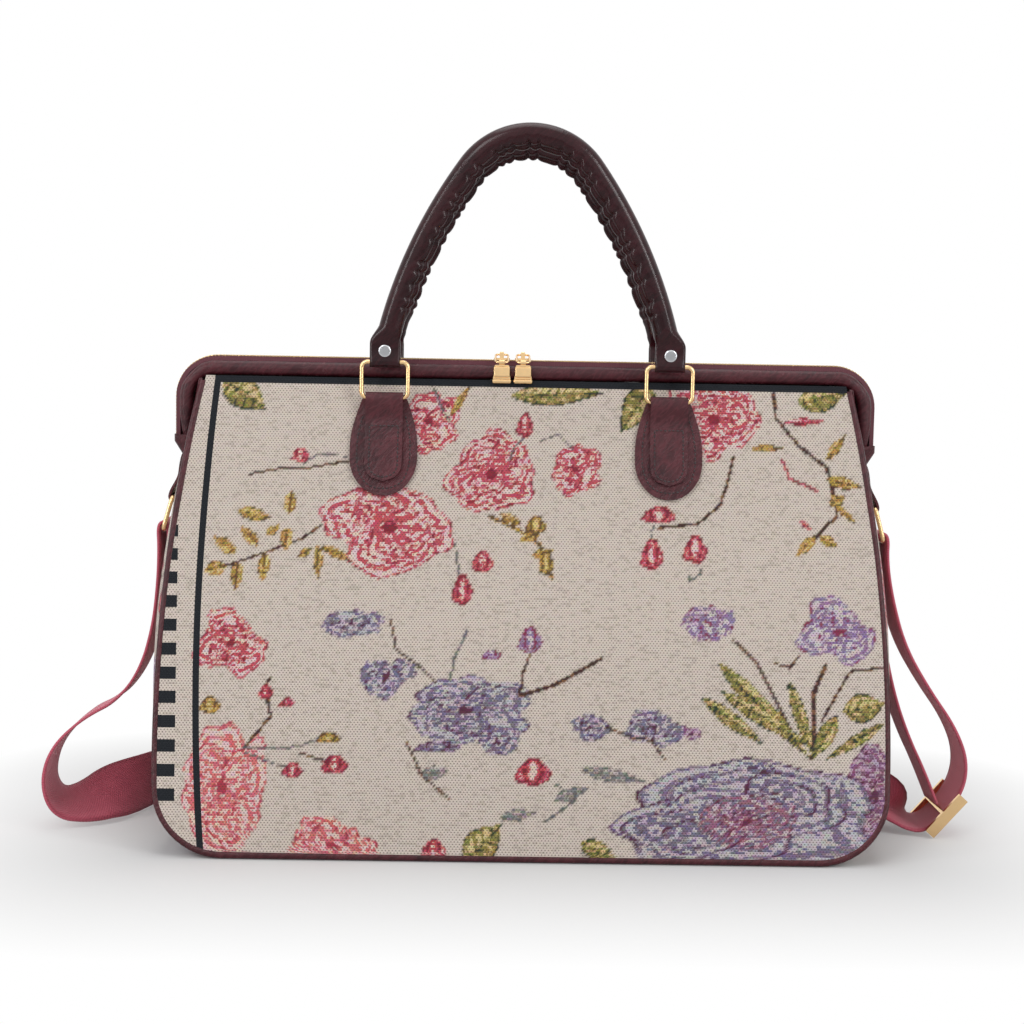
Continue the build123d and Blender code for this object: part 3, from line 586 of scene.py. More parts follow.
def tube(name, points, radius, radii, material, slot, *nodes):
    """Round covered cord along a line of points, with a share of the radius at each."""
    curve = bpy.data.curves.new(name, "CURVE")
    curve.dimensions = "3D"
    curve.bevel_depth = radius
    curve.bevel_resolution = 5
    curve.use_fill_caps = True
    line = curve.splines.new("POLY")
    line.points.add(len(points) - 1)
    for point, place, share in zip(line.points, points, radii):
        point.co = (*place, 1)
        point.radius = share
    line.use_smooth = True
    return put(name, curve, material, "bag", slot, *nodes)


trim_leather = leather_look("burgundy_leather", (44, 14, 20), (74, 28, 35), 0.26, 1500.0, 60.0, 0.0002)
pipe_rise, pipe_half = gusset_line(PIPING_INSET, PIPING_TOP, 70)
for end, way in ENDS:
    base = np.linspace(pipe_half[-1], -pipe_half[-1], 40)[1:-1]
    rise = np.concatenate([pipe_rise, 0 * base + PIPING_INSET, pipe_rise[::-1]])
    across = np.concatenate([pipe_half, base, -pipe_half[::-1]])
    y = way * (PANEL_BASE_Y - rise * sin(LEAN))
    points = np.stack([across, y, rise * cos(LEAN)], axis=-1)
    even = np.ones(len(points))
    tube(f"{end}_piping_cord", points, PIPING_RADIUS, even, trim_leather, "leather", f"{end}_piping")


# Mouth frame: a padded leather sleeve along each side of the mouth and a little way down the sides.
# Each leg thins to a point against a narrow leather facing that runs down to the piping,
# and a leather end covers both legs and the end of the zip.
HANDS = (("left", -1), ("right", 1))
FRAME_HALF = 0.230
FRAME_TOP = 0.313
FRAME_FOOT = 0.263
FRAME_CORNER = 0.020
SLEEVE_RADIUS = 0.005
SLEEVE_Y = 0.009
FACING_LOW = 0.258
FACING_TURN = 0.273
FACING_HIGH = 0.318
FACING_GAP = 0.003
ZIP_END_TOP = FRAME_FOOT + 0.0045
ZIP_END_LENGTH = 0.0140
ZIP_END_HALF = 0.0155
ZIP_END_OUT = FRAME_HALF + 0.0089
ZIP_END_STAND = 0.0030


def frame_line(out, foot, steps):
    """Points along the mouth frame, moved outwards: up the left leg, along the top, down the right."""
    radius = FRAME_CORNER + out
    turn = np.linspace(0, pi / 2, 15)
    corner_x = FRAME_HALF - FRAME_CORNER
    corner_z = FRAME_TOP - FRAME_CORNER
    leg = np.linspace(foot, corner_z, 10)[:-1]
    top = np.linspace(-corner_x, corner_x, steps)[1:-1]
    x = np.concatenate([0 * leg - corner_x - radius, -corner_x - radius * np.cos(turn), top])
    z = np.concatenate([leg, corner_z + radius * np.sin(turn), 0 * top + corner_z + radius])
    x = np.concatenate([x, corner_x + radius * np.sin(turn), 0 * leg + corner_x + radius])
    z = np.concatenate([z, corner_z + radius * np.cos(turn), leg[::-1]])
    return x, z


for end, way in ENDS:
    x, z = frame_line(0.0, FRAME_FOOT - 0.004, 90)
    pinch = 1 - 0.16 * np.exp(-(((np.abs(x) - 0.224) / 0.004) ** 2)) * (z > 0.300)
    thin = np.clip((z - FRAME_FOOT + 0.006) / 0.024, 0.12, 1) ** 0.7
    soft = 1 + 0.02 * np.sin(x * 60) + 0.015 * np.sin(x * 143 + 1)
    points = np.stack([x, 0 * x + way * SLEEVE_Y, z], axis=-1)
    radii = pinch * thin * soft
    sleeve = tube(
        f"{end}_sleeve_leather", points, SLEEVE_RADIUS, radii, trim_leather, "leather", f"{end}_sleeve"
    )
    for hand, side in HANDS:
        rise = np.linspace(FACING_LOW, FACING_HIGH, 24)[:, None]
        seam = PANEL_BASE_Y - rise * sin(LEAN) - 0.0012
        share = np.linspace(0, 1, 7)
        edge = SLEEVE_Y + FACING_GAP
        inner = np.clip(edge + (FACING_TURN - rise) * 1.3, edge, seam)
        y = way * (seam + (inner - seam) * share)
        x = side * (half_width(rise, 0.0018) + share * (0.0016 + 0.02 * np.clip(rise - 0.27, 0, 1)))
        z = rise * cos(LEAN) + 0 * y
        facing = grid_mesh(f"{end}_{hand}_facing", np.stack([x + 0 * y, y, z], axis=-1)[:, :: way * side])
        put(f"{end}_{hand}_facing", facing, trim_leather, "bag", "leather")
for hand, side in HANDS:
    down = np.linspace(0, 1, 24)[:, None]
    share = np.linspace(-1, 1, 17)
    z = ZIP_END_TOP - ZIP_END_LENGTH * down
    flat = half_width(z / cos(LEAN), 0)
    slope = np.clip((down - 0.34) / 0.66, 0, 1)
    outer = ZIP_END_OUT * (1 - slope) + (flat[-1] + ZIP_END_STAND) * slope
    x = side * (flat + (outer - flat) * (1 - share**6))
    y = (ZIP_END_HALF - 0.003 * down) * share
    end_cap = grid_mesh(f"{hand}_zip_end", np.stack([x, y, z + 0 * y], axis=-1)[:, ::side])
    put(f"{hand}_zip_end", end_cap, trim_leather, "bag", "leather")


# Zip: a tape and a row of small metal teeth on each side of the mouth, closed.
# Two gold sliders meet near the middle, each with a wire link and a flat pull.
TOOTH_PITCH = 0.0023
TOOTH_LIFT = 0.0077
TOOTH_SIZE = (0.0013, 0.0028, 0.0023)
TOOTH_ROUNDING = 0.0004
TOOTH_Y = 0.0011
LEFT_SLIDER_X = -0.0172
RIGHT_SLIDER_X = -0.0028
PULL_Y = -0.016168
PULL_Z = 0.319947
PULL_LENGTH = 0.0158
PULL_ROUNDING = 0.0013
# Domed parts of a pull: middle above its foot, height, width, thickness
PULL_DOMES = [(0.0094, 0.0076, 0.0112, 0.0036), (0.0032, 0.0030, 0.0130, 0.0040)]


def metal_look(name, colour, roughness, scale):
    """Polished plated metal with faint rubbing marks."""
    look = Look(name, {"Metallic": 1.0})
    place = look.place()
    marks = look.add("TexNoise", {"Vector": place, "Scale": scale, "Detail": 5.0, "Roughness": 0.7})
    shade = look.mix(marks * 0.5, tint(*colour), tint(*[part * 0.86 for part in colour]))
    return look.finish(shade, marks * 0.14 + (roughness - 0.07), marks, 0.00003)


def dress(material, *nodes):
    """Give CAD nodes a better material."""
    for node in nodes:
        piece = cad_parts[node]
        piece.data.materials.clear()
        piece.data.materials.append(material)


def tape_look():
    """Woven tape: fine ribs across and along."""
    look = Look("zip_tape_weave", {"Sheen Weight": 0.2})
    x, y, z = look.split(look.place())
    ribs = (x * 5200).math("SINE") * 0.5 + ((y + z) * 7000).math("SINE") * 0.5
    colour = look.mix(ribs * 0.25 + 0.5, tint(64, 18, 30), tint(96, 34, 48))
    return look.finish(colour, 0.8, ribs, 0.0001)


def round_edges(piece, width, segments):
    """Soften the edges of a small metal piece."""
    edge = piece.modifiers.new("round", "BEVEL")
    edge.width = width
    edge.segments = segments


gold = metal_look("gold_plate", (248, 210, 156), 0.17, 160.0)
teeth_metal = metal_look("brass_teeth", (188, 162, 120), 0.3, 300.0)
dress(tape_look(), "front_zip_tape", "back_zip_tape")
line_x, line_z = frame_line(TOOTH_LIFT, FRAME_FOOT, 120)
along = run_along(np.stack([line_x, line_z], axis=-1))
for end, way, start in (("front", -1, 0.25), ("back", 1, 0.75)):
    teeth = bmesh.new()
    for station in np.arange(start * TOOTH_PITCH, along[-1], TOOTH_PITCH):
        spots = (station, station + 0.0004)
        x, ahead_x = np.interp(spots, along, line_x)
        z, ahead_z = np.interp(spots, along, line_z)
        turn = Matrix.Rotation(-np.arctan2(ahead_z - z, ahead_x - x), 4, "Y")
        shape = Matrix.Translation((x, way * TOOTH_Y, z)) @ turn @ Matrix.Diagonal((*TOOTH_SIZE, 1))
        bmesh.ops.create_cube(teeth, size=1, matrix=shape)
    mesh = finished(f"{end}_teeth_row", teeth)
    row = put(f"{end}_teeth_row", mesh, teeth_metal, "bag", "zip_teeth", f"{end}_zip_teeth")
    round_edges(row, TOOTH_ROUNDING, 2)
for hand, x in (("left", LEFT_SLIDER_X), ("right", RIGHT_SLIDER_X)):
    dress(gold, f"{hand}_slider", f"{hand}_link", f"{hand}_pull")
    shell = bmesh.new()
    for middle, high, wide, thick in PULL_DOMES:
        place = Matrix.Translation((x, PULL_Y, PULL_Z - PULL_LENGTH + middle))
        bmesh.ops.create_cube(shell, size=1, matrix=place @ Matrix.Diagonal((wide, thick, high, 1)))
    mesh = finished(f"{hand}_pull_shell", shell)
    pull = put(f"{hand}_pull_shell", mesh, gold, f"{hand}_pull_body", "gold")
    round_edges(pull, PULL_ROUNDING, 4)


# Leather patches sewn on the panels, and the loops on them that hold the handle rings.
# Dark thread runs round inside the edge of each, and across the loop under its ring.
RING_X = 0.0955
RING_RISE = 0.30470
RING_STAND = 0.0072
LOOP_RADIUS = 0.0037
FOLD_LENGTH = 0.017
TIP_HALF = 0.00005
PATCH_LIFT = 0.0034
PATCH_HALF = 0.0225
PATCH_TOP_HALF = 0.0150
PATCH_LENGTH = 0.0660
PATCH_SHOULDER = 0.034
PATCH_FOOT = 0.026
PATCH_THICKNESS = 0.0019
PATCH_SEAM = 0.0048
LOOP_HALF = 0.0125
LOOP_LENGTH = 0.0570
LOOP_LIFT = 0.0053
LOOP_THICKNESS = 0.0017
LOOP_SEAM = 0.003
LOOP_SEAM_DOWN = 0.019
STITCH_PITCH = 0.0028
STITCH_SIZE = (0.00105, 0.00048, 0.00034)
STITCH_LIFT = 0.0001


def patch_half(down):
    """Half width of a patch at a distance below its head: sloping shoulders and a round foot."""
    shoulder = np.clip(down / PATCH_SHOULDER, 0, 1)
    wide = PATCH_TOP_HALF + (PATCH_HALF - PATCH_TOP_HALF) * np.sin(shoulder * pi / 2)
    low = np.clip((down - PATCH_LENGTH + PATCH_FOOT) / PATCH_FOOT, 0, 1)
    return wide * np.sqrt(1 - low**2) + TIP_HALF


def loop_half(down):
    """Half width of a loop's tail: straight, with a round end."""
    low = np.clip((down - LOOP_LENGTH + LOOP_HALF) / LOOP_HALF, 0, 1)
    return LOOP_HALF * np.sqrt(1 - low**2) + TIP_HALF


def gentle(share):
    """Share from 0 to 1 that starts and stops gently."""
    share = np.clip(share, 0, 1)
    return share * share * (3 - 2 * share)


def fold(length, lift, stand):
    """Distance below the ring bar and lift off the cloth, up a loop's tail and round the bar."""
    down = length * (1 - np.sin(np.linspace(0, pi / 2, 34))[:-1])
    tail = lift + (stand + LOOP_RADIUS - lift) * gentle(1 - down / FOLD_LENGTH)
    turn = np.linspace(0, pi, 14)
    down = np.concatenate([down, -LOOP_RADIUS * np.sin(turn)])
    return down, np.concatenate([tail, stand + LOOP_RADIUS * np.cos(turn)])


def stitches(bank, places, normal):
    """Add a row of thread stitches along a line of places on leather that faces the normal."""
    along = run_along(places)
    for station in np.arange(STITCH_PITCH / 2, along[-1], STITCH_PITCH):
        place, ahead = [
            Vector([np.interp(at, along, places[:, axis]) for axis in range(3)])
            for at in (station, station + 0.0005)
        ]
        ahead = (ahead - place).normalized()
        beside = Vector(normal).cross(ahead).normalized()
        turn = Matrix((ahead, beside, ahead.cross(beside))).transposed().to_4x4()
        shape = Matrix.Translation(place) @ turn @ Matrix.Diagonal((*STITCH_SIZE, 1))
        bmesh.ops.create_icosphere(bank, subdivisions=2, radius=1, matrix=shape)


def thread_look():
    """Twisted sewing thread, darker than the leather."""
    look = Look("thread", {"Sheen Weight": 0.3})
    x, y, z = look.split(look.place())
    twist = ((x + y + z) * 9000).math("SINE")
    return look.finish(look.mix(twist * 0.3 + 0.5, tint(20, 8, 10), tint(40, 16, 20)), 0.7, twist, 0.0001)


def thicken(piece, thickness, rounding):
    """Give a sheet of leather its thickness, with softened edges."""
    body = piece.modifiers.new("thickness", "SOLIDIFY")
    body.thickness = thickness
    body.offset = -1
    edge = piece.modifiers.new("edge", "BEVEL")
    edge.width = rounding
    edge.segments = 2
    edge.limit_method = "ANGLE"
    edge.angle_limit = radians(50)


thread = thread_look()
patch_leather = leather_look("patch_leather", (42, 13, 19), (80, 32, 39), 0.25, 1300.0, 60.0, 0.0003)
for end, way in ENDS:
    outward = (0, way * cos(LEAN), sin(LEAN))
    sewing = bmesh.new()
    for hand, side in HANDS:
        down = PATCH_LENGTH * np.sin(np.linspace(0, pi / 2, 44))[:, None]
        middle = side * RING_X
        across = middle + patch_half(down) * np.sin(np.linspace(-1, 1, 25) * pi / 2)
        points = panel_point(across, RING_RISE - down, PATCH_LIFT, way)[:, ::way]
        node = f"{end}_{hand}_patch"
        patch = grid_mesh(f"{node}_leather", points)
        piece = put(f"{node}_leather", patch, patch_leather, "bag", "leather", node)
        thicken(piece, PATCH_THICKNESS, 0.0006)
        down, lift = fold(LOOP_LENGTH, LOOP_LIFT, RING_STAND)
        across = loop_half(down)[:, None] * np.linspace(-1, 1, 13)
        points = panel_point(middle + across, RING_RISE - down[:, None], lift[:, None], way)[:, ::-way]
        node = f"{end}_{hand}_loop"
        loop = grid_mesh(f"{node}_leather", points)
        piece = put(f"{node}_leather", loop, patch_leather, "bag", "leather", node)
        thicken(piece, LOOP_THICKNESS, 0.0005)
        dress(gold, f"{end}_{hand}_ring")
        for length, lift, head, inset, widths in (
            (PATCH_LENGTH - 0.0045, PATCH_LIFT, 0.012, PATCH_SEAM, patch_half),
            (LOOP_LENGTH - LOOP_SEAM, LOOP_LIFT, LOOP_SEAM_DOWN, LOOP_SEAM, loop_half),
        ):
            down = head + (length - head) * np.sin(np.linspace(0, pi / 2, 40))
            tip = np.sqrt(np.clip(1 - (down / length) ** 40, 0, 1))
            reach = np.clip(widths(down) - inset, 0, 1) * tip
            across = middle + np.concatenate([-reach, reach[::-1]])
            down = np.concatenate([down, down[::-1]])
            stitches(sewing, panel_point(across, RING_RISE - down, lift + STITCH_LIFT, way), outward)
        across = middle + np.linspace(-LOOP_HALF + LOOP_SEAM, LOOP_HALF - LOOP_SEAM, 9)
        line = panel_point(across, RING_RISE - LOOP_SEAM_DOWN, LOOP_LIFT + STITCH_LIFT, way)
        stitches(sewing, line, outward)
    put(f"{end}_stitching", finished(f"{end}_stitching", sewing), thread, "bag", "leather")


# Rolled handles: dark glossy leather round a cord, gathered into puckers along the inner seam.
# Each foot is flattened, folded round its ring's upper bar and closed with a chrome rivet.
BAR_Y = 0.023678
BAR_Z = 0.3187
HANDLE_RISE = 0.151
HANDLE_RADIUS = 0.008
CROWN_RADIUS = 0.050
CROWN_HALF_ANGLE = radians(54)
HANDLE_LEAN = radians(2.5)
LEG_RADIUS = 0.3278
LEG_END = (0.0915, 0.024)
FOOT_HALF = 0.01025
FOOT_EYE = 0.0036
FOOT_THICK = 0.0026
GATHERS = 34
GATHERS_LOW = 0.030
SECTION_POINTS = 40


def handle_line():
    """Middle line of a handle from the left foot to the right, with its outward direction."""
    start = CROWN_HALF_ANGLE
    shoulder = Vector((CROWN_RADIUS * sin(start), HANDLE_RISE - CROWN_RADIUS * (1 - cos(start))))
    inward = Vector((-sin(start), -cos(start)))
    centre = shoulder + inward * LEG_RADIUS
    stop = np.arctan2(LEG_END[0] - centre[0], LEG_END[1] - centre[1])
    crown = np.linspace(0, start, 60)
    leg = np.linspace(start, stop, 130)[1:]
    x = np.concatenate([CROWN_RADIUS * np.sin(crown), centre[0] + LEG_RADIUS * np.sin(leg)])
    crown_z = HANDLE_RISE - CROWN_RADIUS + CROWN_RADIUS * np.cos(crown)
    z = np.concatenate([crown_z, centre[1] + LEG_RADIUS * np.cos(leg)])
    angle = np.concatenate([crown, leg])
    foot = np.linspace(0, 1, 26)[1:]
    foot_z = LEG_END[1] - (LEG_END[1] + FOOT_EYE) * np.sin(foot * pi / 2)
    ease = gentle((LEG_END[1] - foot_z) / (LEG_END[1] - 0.014))
    x = np.concatenate([x, LEG_END[0] + (RING_X - LEG_END[0]) * ease])
    z = np.concatenate([z, foot_z])
    angle = np.concatenate([angle, stop + (pi / 2 - stop) * ease])
    x = np.concatenate([-x[:0:-1], x])
    angle = np.concatenate([-angle[:0:-1], angle])
    return x, np.concatenate([z[:0:-1], z]), angle


def handle_points():
    """Rows of points round the handle, puckered along its inner side and flat at its feet."""
    x, z, angle = handle_line()
    run = run_along(np.stack([x, z], axis=-1))
    share = run / run[-1]
    ease = gentle((LEG_END[1] - z) / (LEG_END[1] - 0.012))
    eye = np.exp(-((z / 0.0042) ** 2))
    thick = HANDLE_RADIUS + (FOOT_THICK - HANDLE_RADIUS) * ease + (FOOT_EYE - FOOT_THICK) * eye
    tip = np.sqrt(np.clip(1 - (np.clip(-z, 0, FOOT_EYE) / FOOT_EYE) ** 2, 0.0004, 1))
    thick = thick * tip
    wide = HANDLE_RADIUS + (FOOT_HALF - HANDLE_RADIUS) * ease
    power = 1 + 0.62 * ease
    round_angle = np.linspace(0, 2 * pi, SECTION_POINTS + 1)
    cosine, sine = np.cos(round_angle), np.sin(round_angle)
    out = np.sign(cosine) * np.abs(cosine) ** (1 / power[:, None]) * wide[:, None]
    side = np.sign(sine) * np.abs(sine) ** (1 / power[:, None]) * thick[:, None]
    gathered = np.clip((z - GATHERS_LOW) / 0.012, 0, 1)[:, None]
    inner = np.abs(round_angle - pi)
    uneven = 0.8 * np.sin(share * 41) + 0.6 * np.sin(share * 97 + 1)
    phase = (share * GATHERS * 1.12 * pi + uneven)[:, None] + 0.7 * inner
    wave = np.abs(np.sin(phase))
    deep = (0.8 + 0.3 * np.sin(share * 63 + 2))[:, None]
    ridge = (0.0003 + 0.0017 * wave**0.7) * np.exp(-((inner / 0.36) ** 2))
    crease = -0.0017 * deep * (1 - wave) ** 2 * np.exp(-(((inner - 0.75) / 0.45) ** 2))
    puff = 0.0007 * wave * np.exp(-(((inner - 0.85) / 0.35) ** 2))
    groove = -0.0009 * np.exp(-(((inner - 0.42) / 0.12) ** 2))
    grow = 1 + gathered * (ridge + crease + puff + groove) / HANDLE_RADIUS
    out, side = out * grow, side * grow
    across = x[:, None] + out * np.sin(angle)[:, None]
    up = z[:, None] + out * np.cos(angle)[:, None]
    return across, side, up


handle_leather = leather_look("handle_leather", (30, 9, 13), (46, 15, 20), 0.17, 1100.0, 40.0, 0.00005)
chrome = metal_look("chrome", (232, 234, 238), 0.1, 220.0)
across, side, up = handle_points()
for end, way in ENDS:
    y = way * (BAR_Y + up * sin(HANDLE_LEAN)) + side * cos(HANDLE_LEAN)
    points = np.stack([across, y, BAR_Z + up * cos(HANDLE_LEAN)], axis=-1)
    name = f"{end}_handle_leather"
    roll = grid_mesh(name, points, closed=True)
    piece = put(name, roll, handle_leather, f"{end}_handle", "handle_leather", f"{end}_handle_cover")
    dress(chrome, f"{end}_handle_rivets")


# Leather tabs on the sides of the bag, folded round the gold rings that carry the strap.
# Each is sewn flat above its ring with a row of dark thread.
TAB_RISE = 0.234
TAB_HALF = 0.018
TAB_LENGTH = 0.030
TAB_CORNER = 0.010
TAB_LIFT = 0.0026
TAB_SLOPE = 0.1187


def tab_point(across, up, lift, side):
    """Place on a side tab: across to the back, up from the ring's bar, and off the cloth."""
    across, up, lift = np.broadcast_arrays(across, up, lift)
    normal = np.array([1, TAB_SLOPE]) / np.hypot(1, TAB_SLOPE)
    x = half_width(np.array(TAB_RISE), 0) + lift * normal[0] - up * normal[1]
    z = TAB_RISE * cos(LEAN) + lift * normal[1] + up * normal[0]
    return np.stack([side * x, across, z], axis=-1)


for hand, side in HANDS:
    down, lift = fold(TAB_LENGTH, TAB_LIFT, LOOP_RADIUS)
    corner = np.clip((down - TAB_LENGTH + TAB_CORNER) / TAB_CORNER, 0, 1)
    half = TAB_HALF - TAB_CORNER + TAB_CORNER * np.sqrt(1 - corner**2)
    across = half[:, None] * np.linspace(-1, 1, 13)
    tab = grid_mesh(f"{hand}_tab_leather", tab_point(across, down[:, None], lift[:, None], side)[:, ::-side])
    piece = put(f"{hand}_tab_leather", tab, patch_leather, "bag", "leather", f"{hand}_side_tab")
    thicken(piece, LOOP_THICKNESS, 0.0005)
    sewing = bmesh.new()
    reach = np.array([1, 1, 1, 0.7, 0.0, -0.7, -1, -1, -1]) * (TAB_HALF - 0.004)
    height = np.array([0.012, 0.018, 0.022, 0.026, 0.0265, 0.026, 0.022, 0.018, 0.012])
    line = tab_point(reach, height, TAB_LIFT + STITCH_LIFT, side)
    stitches(sewing, line, (side, 0, TAB_SLOPE))
    put(f"{hand}_tab_stitching", finished(f"{hand}_tab_stitching", sewing), thread, "bag", "leather")
    dress(gold, f"{hand}_side_ring")


# Shoulder strap: one length of rose webbing from the left ring, round behind the bag,
# through the gold slide buckle, up round the right ring and back down to the buckle.
STRAP_WIDTH = 0.038
STRAP_THICKNESS = 0.0018
STRAP_EDGE = 0.002
RIB_PITCH = 0.0012
TWILL_PITCH = 0.0016
# Route: x, y, z in metres and the turn of the webbing from level to upright in degrees
STRAP_ROUTE = [
    (-0.241, 0, 0.180, 0),
    (-0.2395, 0, 0.2085, 0),
    (-0.2482, 0, 0.2085, 0),
    (-0.2474, 0.001, 0.190, 0),
    (-0.249, 0.005, 0.166, 0),
    (-0.253, 0.009, 0.136, 0),
    (-0.260, 0.003, 0.108, 0),
    (-0.274, -0.010, 0.087, 0),
    (-0.297, -0.018, 0.075, 0),
    (-0.316, -0.023, 0.056, 0),
    (-0.322, -0.024, 0.032, 0),
    (-0.315, -0.021, 0.014, 12),
    (-0.298, -0.014, 0.0126, 30),
    (-0.280, -0.002, 0.0188, 52),
    (-0.266, 0.015, 0.0206, 75),
    (-0.256, 0.042, 0.0202, 90),
    (-0.251, 0.078, 0.0196, 90),
    (-0.233, 0.106, 0.0196, 90),
    (-0.196, 0.117, 0.0196, 90),
    (-0.146, 0.113, 0.0196, 90),
    (-0.092, 0.118, 0.0196, 90),
    (-0.036, 0.112, 0.0196, 90),
    (0.020, 0.117, 0.0196, 90),
    (0.076, 0.112, 0.0196, 90),
    (0.130, 0.118, 0.0196, 90),
    (0.180, 0.116, 0.0196, 90),
    (0.222, 0.109, 0.0196, 90),
    (0.246, 0.088, 0.0196, 90),
    (0.253, 0.056, 0.0206, 85),
    (0.252, 0.027, 0.0206, 66),
    (0.256, 0.006, 0.017, 34),
    (0.267, -0.004, 0.0064, 8),
    (0.282, -0.006, 0.004, 0),
    (0.303, -0.006, 0.028, 0),
    (0.307, -0.007, 0.052, 0),
    (0.297, -0.008, 0.077, 0),
    (0.278, -0.007, 0.103, 0),
    (0.261, -0.004, 0.132, 0),
    (0.252, -0.001, 0.164, 0),
    (0.2476, 0, 0.190, 0),
    (0.2482, 0, 0.2085, 0),
    (0.2395, 0, 0.2085, 0),
    (0.242, 0.001, 0.186, 0),
    (0.2445, 0.002, 0.163, 0),
    (0.249, 0.004, 0.130, 0),
    (0.257, 0.003, 0.096, 0),
    (0.267, 0, 0.068, 0),
    (0.279, -0.004, 0.043, 0),
    (0.2875, -0.006, 0.0216, 0),
]


def strap_line():
    """Points along the strap's smooth middle line, and the turn of its width at each."""
    curve = bpy.data.curves.new("strap_route", "CURVE")
    curve.dimensions = "3D"
    curve.resolution_u = 8
    spline = curve.splines.new("NURBS")
    spline.points.add(len(STRAP_ROUTE) - 1)
    for point, stop in zip(spline.points, STRAP_ROUTE):
        point.co = (*stop[:3], 1)
    spline.order_u = 3
    spline.use_endpoint_u = True
    route = show("strap_route", curve)
    line = bpy.data.meshes.new_from_object(route)
    points = np.array([vertex.co for vertex in line.vertices])
    bpy.data.objects.remove(route)
    last = len(STRAP_ROUTE) - 2
    middles = np.clip(np.arange(len(STRAP_ROUTE)) - 0.5, 0, last)
    turns = np.interp(np.linspace(0, last, len(points)), middles, [stop[3] for stop in STRAP_ROUTE])
    return points, np.radians(turns)


def webbing_look():
    """Woven webbing: fine ribs along it, a chevron twill and denser edges."""
    look = Look("rose_webbing", {"Sheen Weight": 0.25})
    across, along, _ = look.split(look.add("Attribute", {}, output=1, attribute_name="place"))
    ribs = (across * (2 * pi / RIB_PITCH)).math("COSINE")
    twill = ((along + across.math("ABSOLUTE") * 0.6) * (2 * pi / TWILL_PITCH)).math("COSINE")
    edge = across.math("ABSOLUTE").math("GREATER_THAN", STRAP_WIDTH / 2 - STRAP_EDGE)
    cloud = look.add("TexNoise", {"Vector": look.place(), "Scale": 70.0, "Detail": 3.0})
    tone = ribs * 0.1 + twill * 0.12 + cloud * 0.5 + 0.25
    colour = look.mix(tone, tint(164, 58, 80), tint(212, 100, 120))
    rim = look.mix(edge * 0.4, colour, tint(152, 48, 70))
    return look.finish(rim, 0.62, ribs * 0.5 + twill * 0.5, 0.0002)


points, turns = strap_line()
ahead = np.gradient(points, axis=0)
ahead /= np.linalg.norm(ahead, axis=1)[:, None]
width = np.stack([0 * turns, np.cos(turns), np.sin(turns)], axis=-1)
width -= ahead * (width * ahead).sum(axis=1)[:, None]
width /= np.linalg.norm(width, axis=1)[:, None]
columns = np.linspace(-STRAP_WIDTH / 2, STRAP_WIDTH / 2, 9)
ribbon = points[:, None, :] + width[:, None, :] * columns[None, :, None]
mesh = grid_mesh("strap_webbing", ribbon)
across = np.tile(columns, len(points))
along = np.repeat(run_along(points), len(columns))
place = np.stack([across, along, 0 * along], axis=-1)
attribute = mesh.attributes.new("place", "FLOAT_VECTOR", "POINT")
attribute.data.foreach_set("vector", np.asarray(place, np.float32).ravel())
strap = put("strap_webbing", mesh, webbing_look(), "bag", "webbing", "strap")
body = strap.modifiers.new("thickness", "SOLIDIFY")
body.thickness = STRAP_THICKNESS
body.offset = 0
dress(gold, "strap_buckle")


# Hidden inside: the steel frame rods, the handle filler cords and the stiff base board.
# They keep their CAD shapes.
def plain_look(name, dark, light, roughness, scale):
    """Unseen inner material with a little colour variation."""
    look = Look(name, {})
    place = look.place()
    cloud = look.add("TexNoise", {"Vector": place, "Scale": scale, "Detail": 4.0})
    return look.finish(look.mix(cloud, tint(*dark), tint(*light)), roughness, cloud, 0.0002)


dress(metal_look("frame_steel", (168, 170, 174), 0.35, 200.0), "front_frame_rod", "back_frame_rod")
filler = plain_look("filler_cord", (150, 138, 120), (200, 188, 168), 0.9, 900.0)
dress(filler, "front_handle_core", "back_handle_core")
dress(plain_look("base_board", (40, 36, 34), (62, 56, 52), 0.7, 120.0), "base_board")


# Studio: a pale floor that fades to the white of the background away from the bag,
# soft lamps in front, above and at both sides, and the camera at the photograph's angle.
def area_light(name, place, size, tall, power):
    """Soft lamp with a flat face that is turned to the bag."""
    lamp = bpy.data.lights.new(name, "AREA")
    lamp.shape = "RECTANGLE"
    lamp.size = size
    lamp.size_y = tall
    lamp.energy = power
    light = show(name, lamp)
    light.location = place
    light.rotation_euler = (Vector((0, 0, 0.15)) - Vector(place)).to_track_quat("-Z", "Y").to_euler()


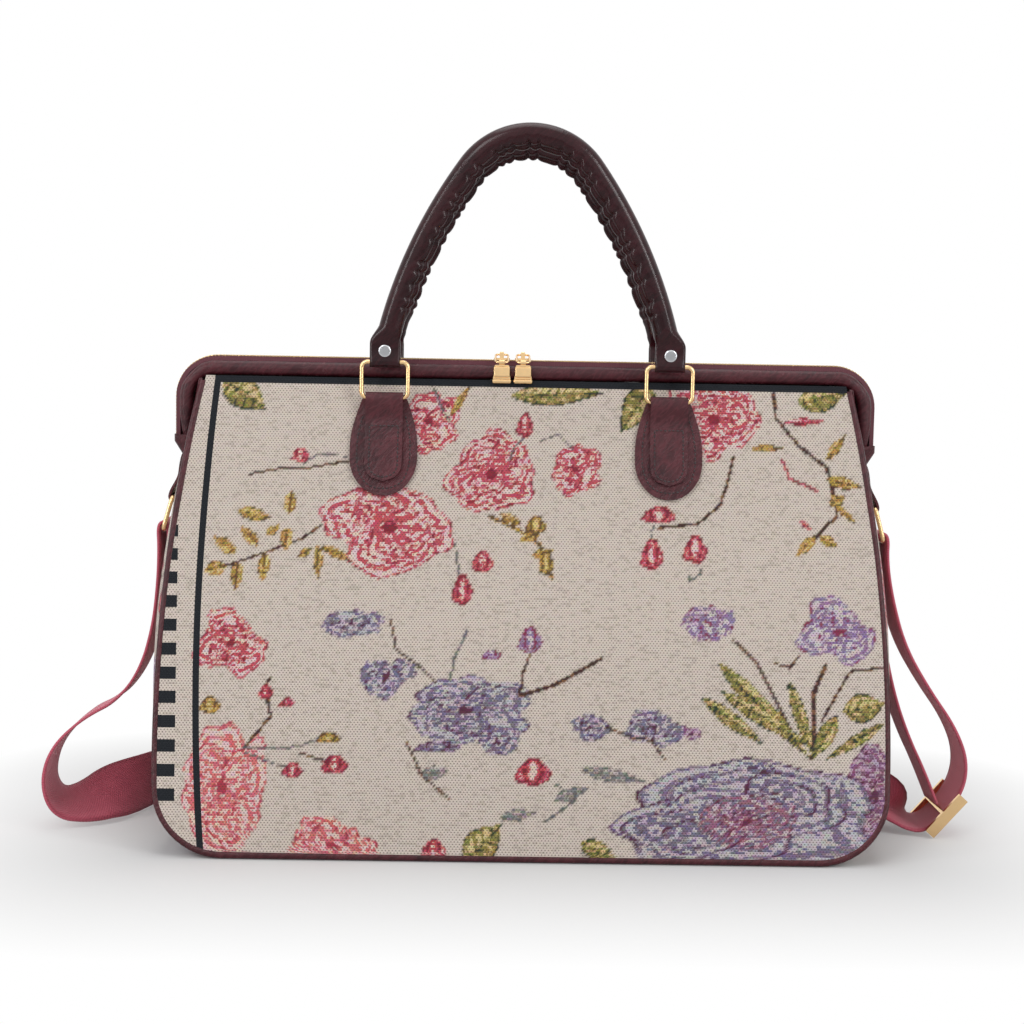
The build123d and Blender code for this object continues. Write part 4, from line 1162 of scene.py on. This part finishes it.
floor_shape = bmesh.new()
bmesh.ops.create_grid(floor_shape, x_segments=1, y_segments=1, size=6)
floor = show("floor", finished("floor", floor_shape))
floor_look = Look("pale_floor", {"Base Color": (0.58, 0.58, 0.58, 1), "Roughness": 0.9})
seen = floor_look.add("LightPath", {}, output=0)
floor_x, floor_y, _ = floor_look.split(floor_look.place())
beside = (floor_x.math("ABSOLUTE") - 0.23).math("MAXIMUM", 0.0)
before = (floor_y.math("ABSOLUTE") - 0.09).math("MAXIMUM", 0.0)
distance = (beside * beside + before * before).math("SQRT")
white = floor_look.add("Emission", {"Color": (1, 1, 1, 1), "Strength": 1.0})
fade = floor_look.add("MapRange", {"Value": distance, "From Min": 0.0, "From Max": 0.2, "To Min": 0.0})
plain = Value(floor_look, floor_look.shader.outputs[0])
blend = floor_look.add("MixShader", {0: seen * fade, 1: plain, 2: white})
floor_look.set(floor_look.tree.nodes["Material Output"].inputs["Surface"], blend)
floor.data.materials.append(floor_look.material)

world = bpy.data.worlds.new("studio")
world.use_nodes = True
sky = world.node_tree
backdrop = sky.nodes["Background"]
rays = sky.nodes.new("ShaderNodeLightPath")
backdrop.inputs["Color"].default_value = (1, 1, 1, 1)
level = sky.nodes.new("ShaderNodeMapRange")
level.inputs["To Min"].default_value = 0.55
plain_rays = rays.outputs["Is Camera Ray"]
for kind in ("Is Glossy Ray", "Is Transmission Ray"):
    either = sky.nodes.new("ShaderNodeMath")
    either.operation = "MAXIMUM"
    sky.links.new(plain_rays, either.inputs[0])
    sky.links.new(rays.outputs[kind], either.inputs[1])
    plain_rays = either.outputs[0]
sky.links.new(plain_rays, level.inputs["Value"])
sky.links.new(level.outputs[0], backdrop.inputs["Strength"])
bpy.context.scene.world = world
area_light("key", (-1.1, -1.7, 1.9), 0.9, 0.9, 13)
area_light("fill", (1.5, -1.4, 1.2), 0.8, 0.8, 7)
area_light("top", (0.0, 0.1, 2.2), 1.4, 1.4, 12)
area_light("left_strip", (-1.3, -0.8, 0.5), 0.16, 1.6, 8)
area_light("right_strip", (1.2, -0.9, 0.6), 0.14, 1.6, 6)

lens = bpy.data.cameras.new("camera")
lens.lens = 61.17
lens.sensor_width = 36
camera = show("camera", lens)
camera.location = (-0.0254, -1.1930, 0.3229)
camera.rotation_euler = (radians(84.946), radians(-1.044), radians(-0.727))
bpy.context.scene.camera = camera
bpy.context.scene.view_settings.view_transform = "Standard"
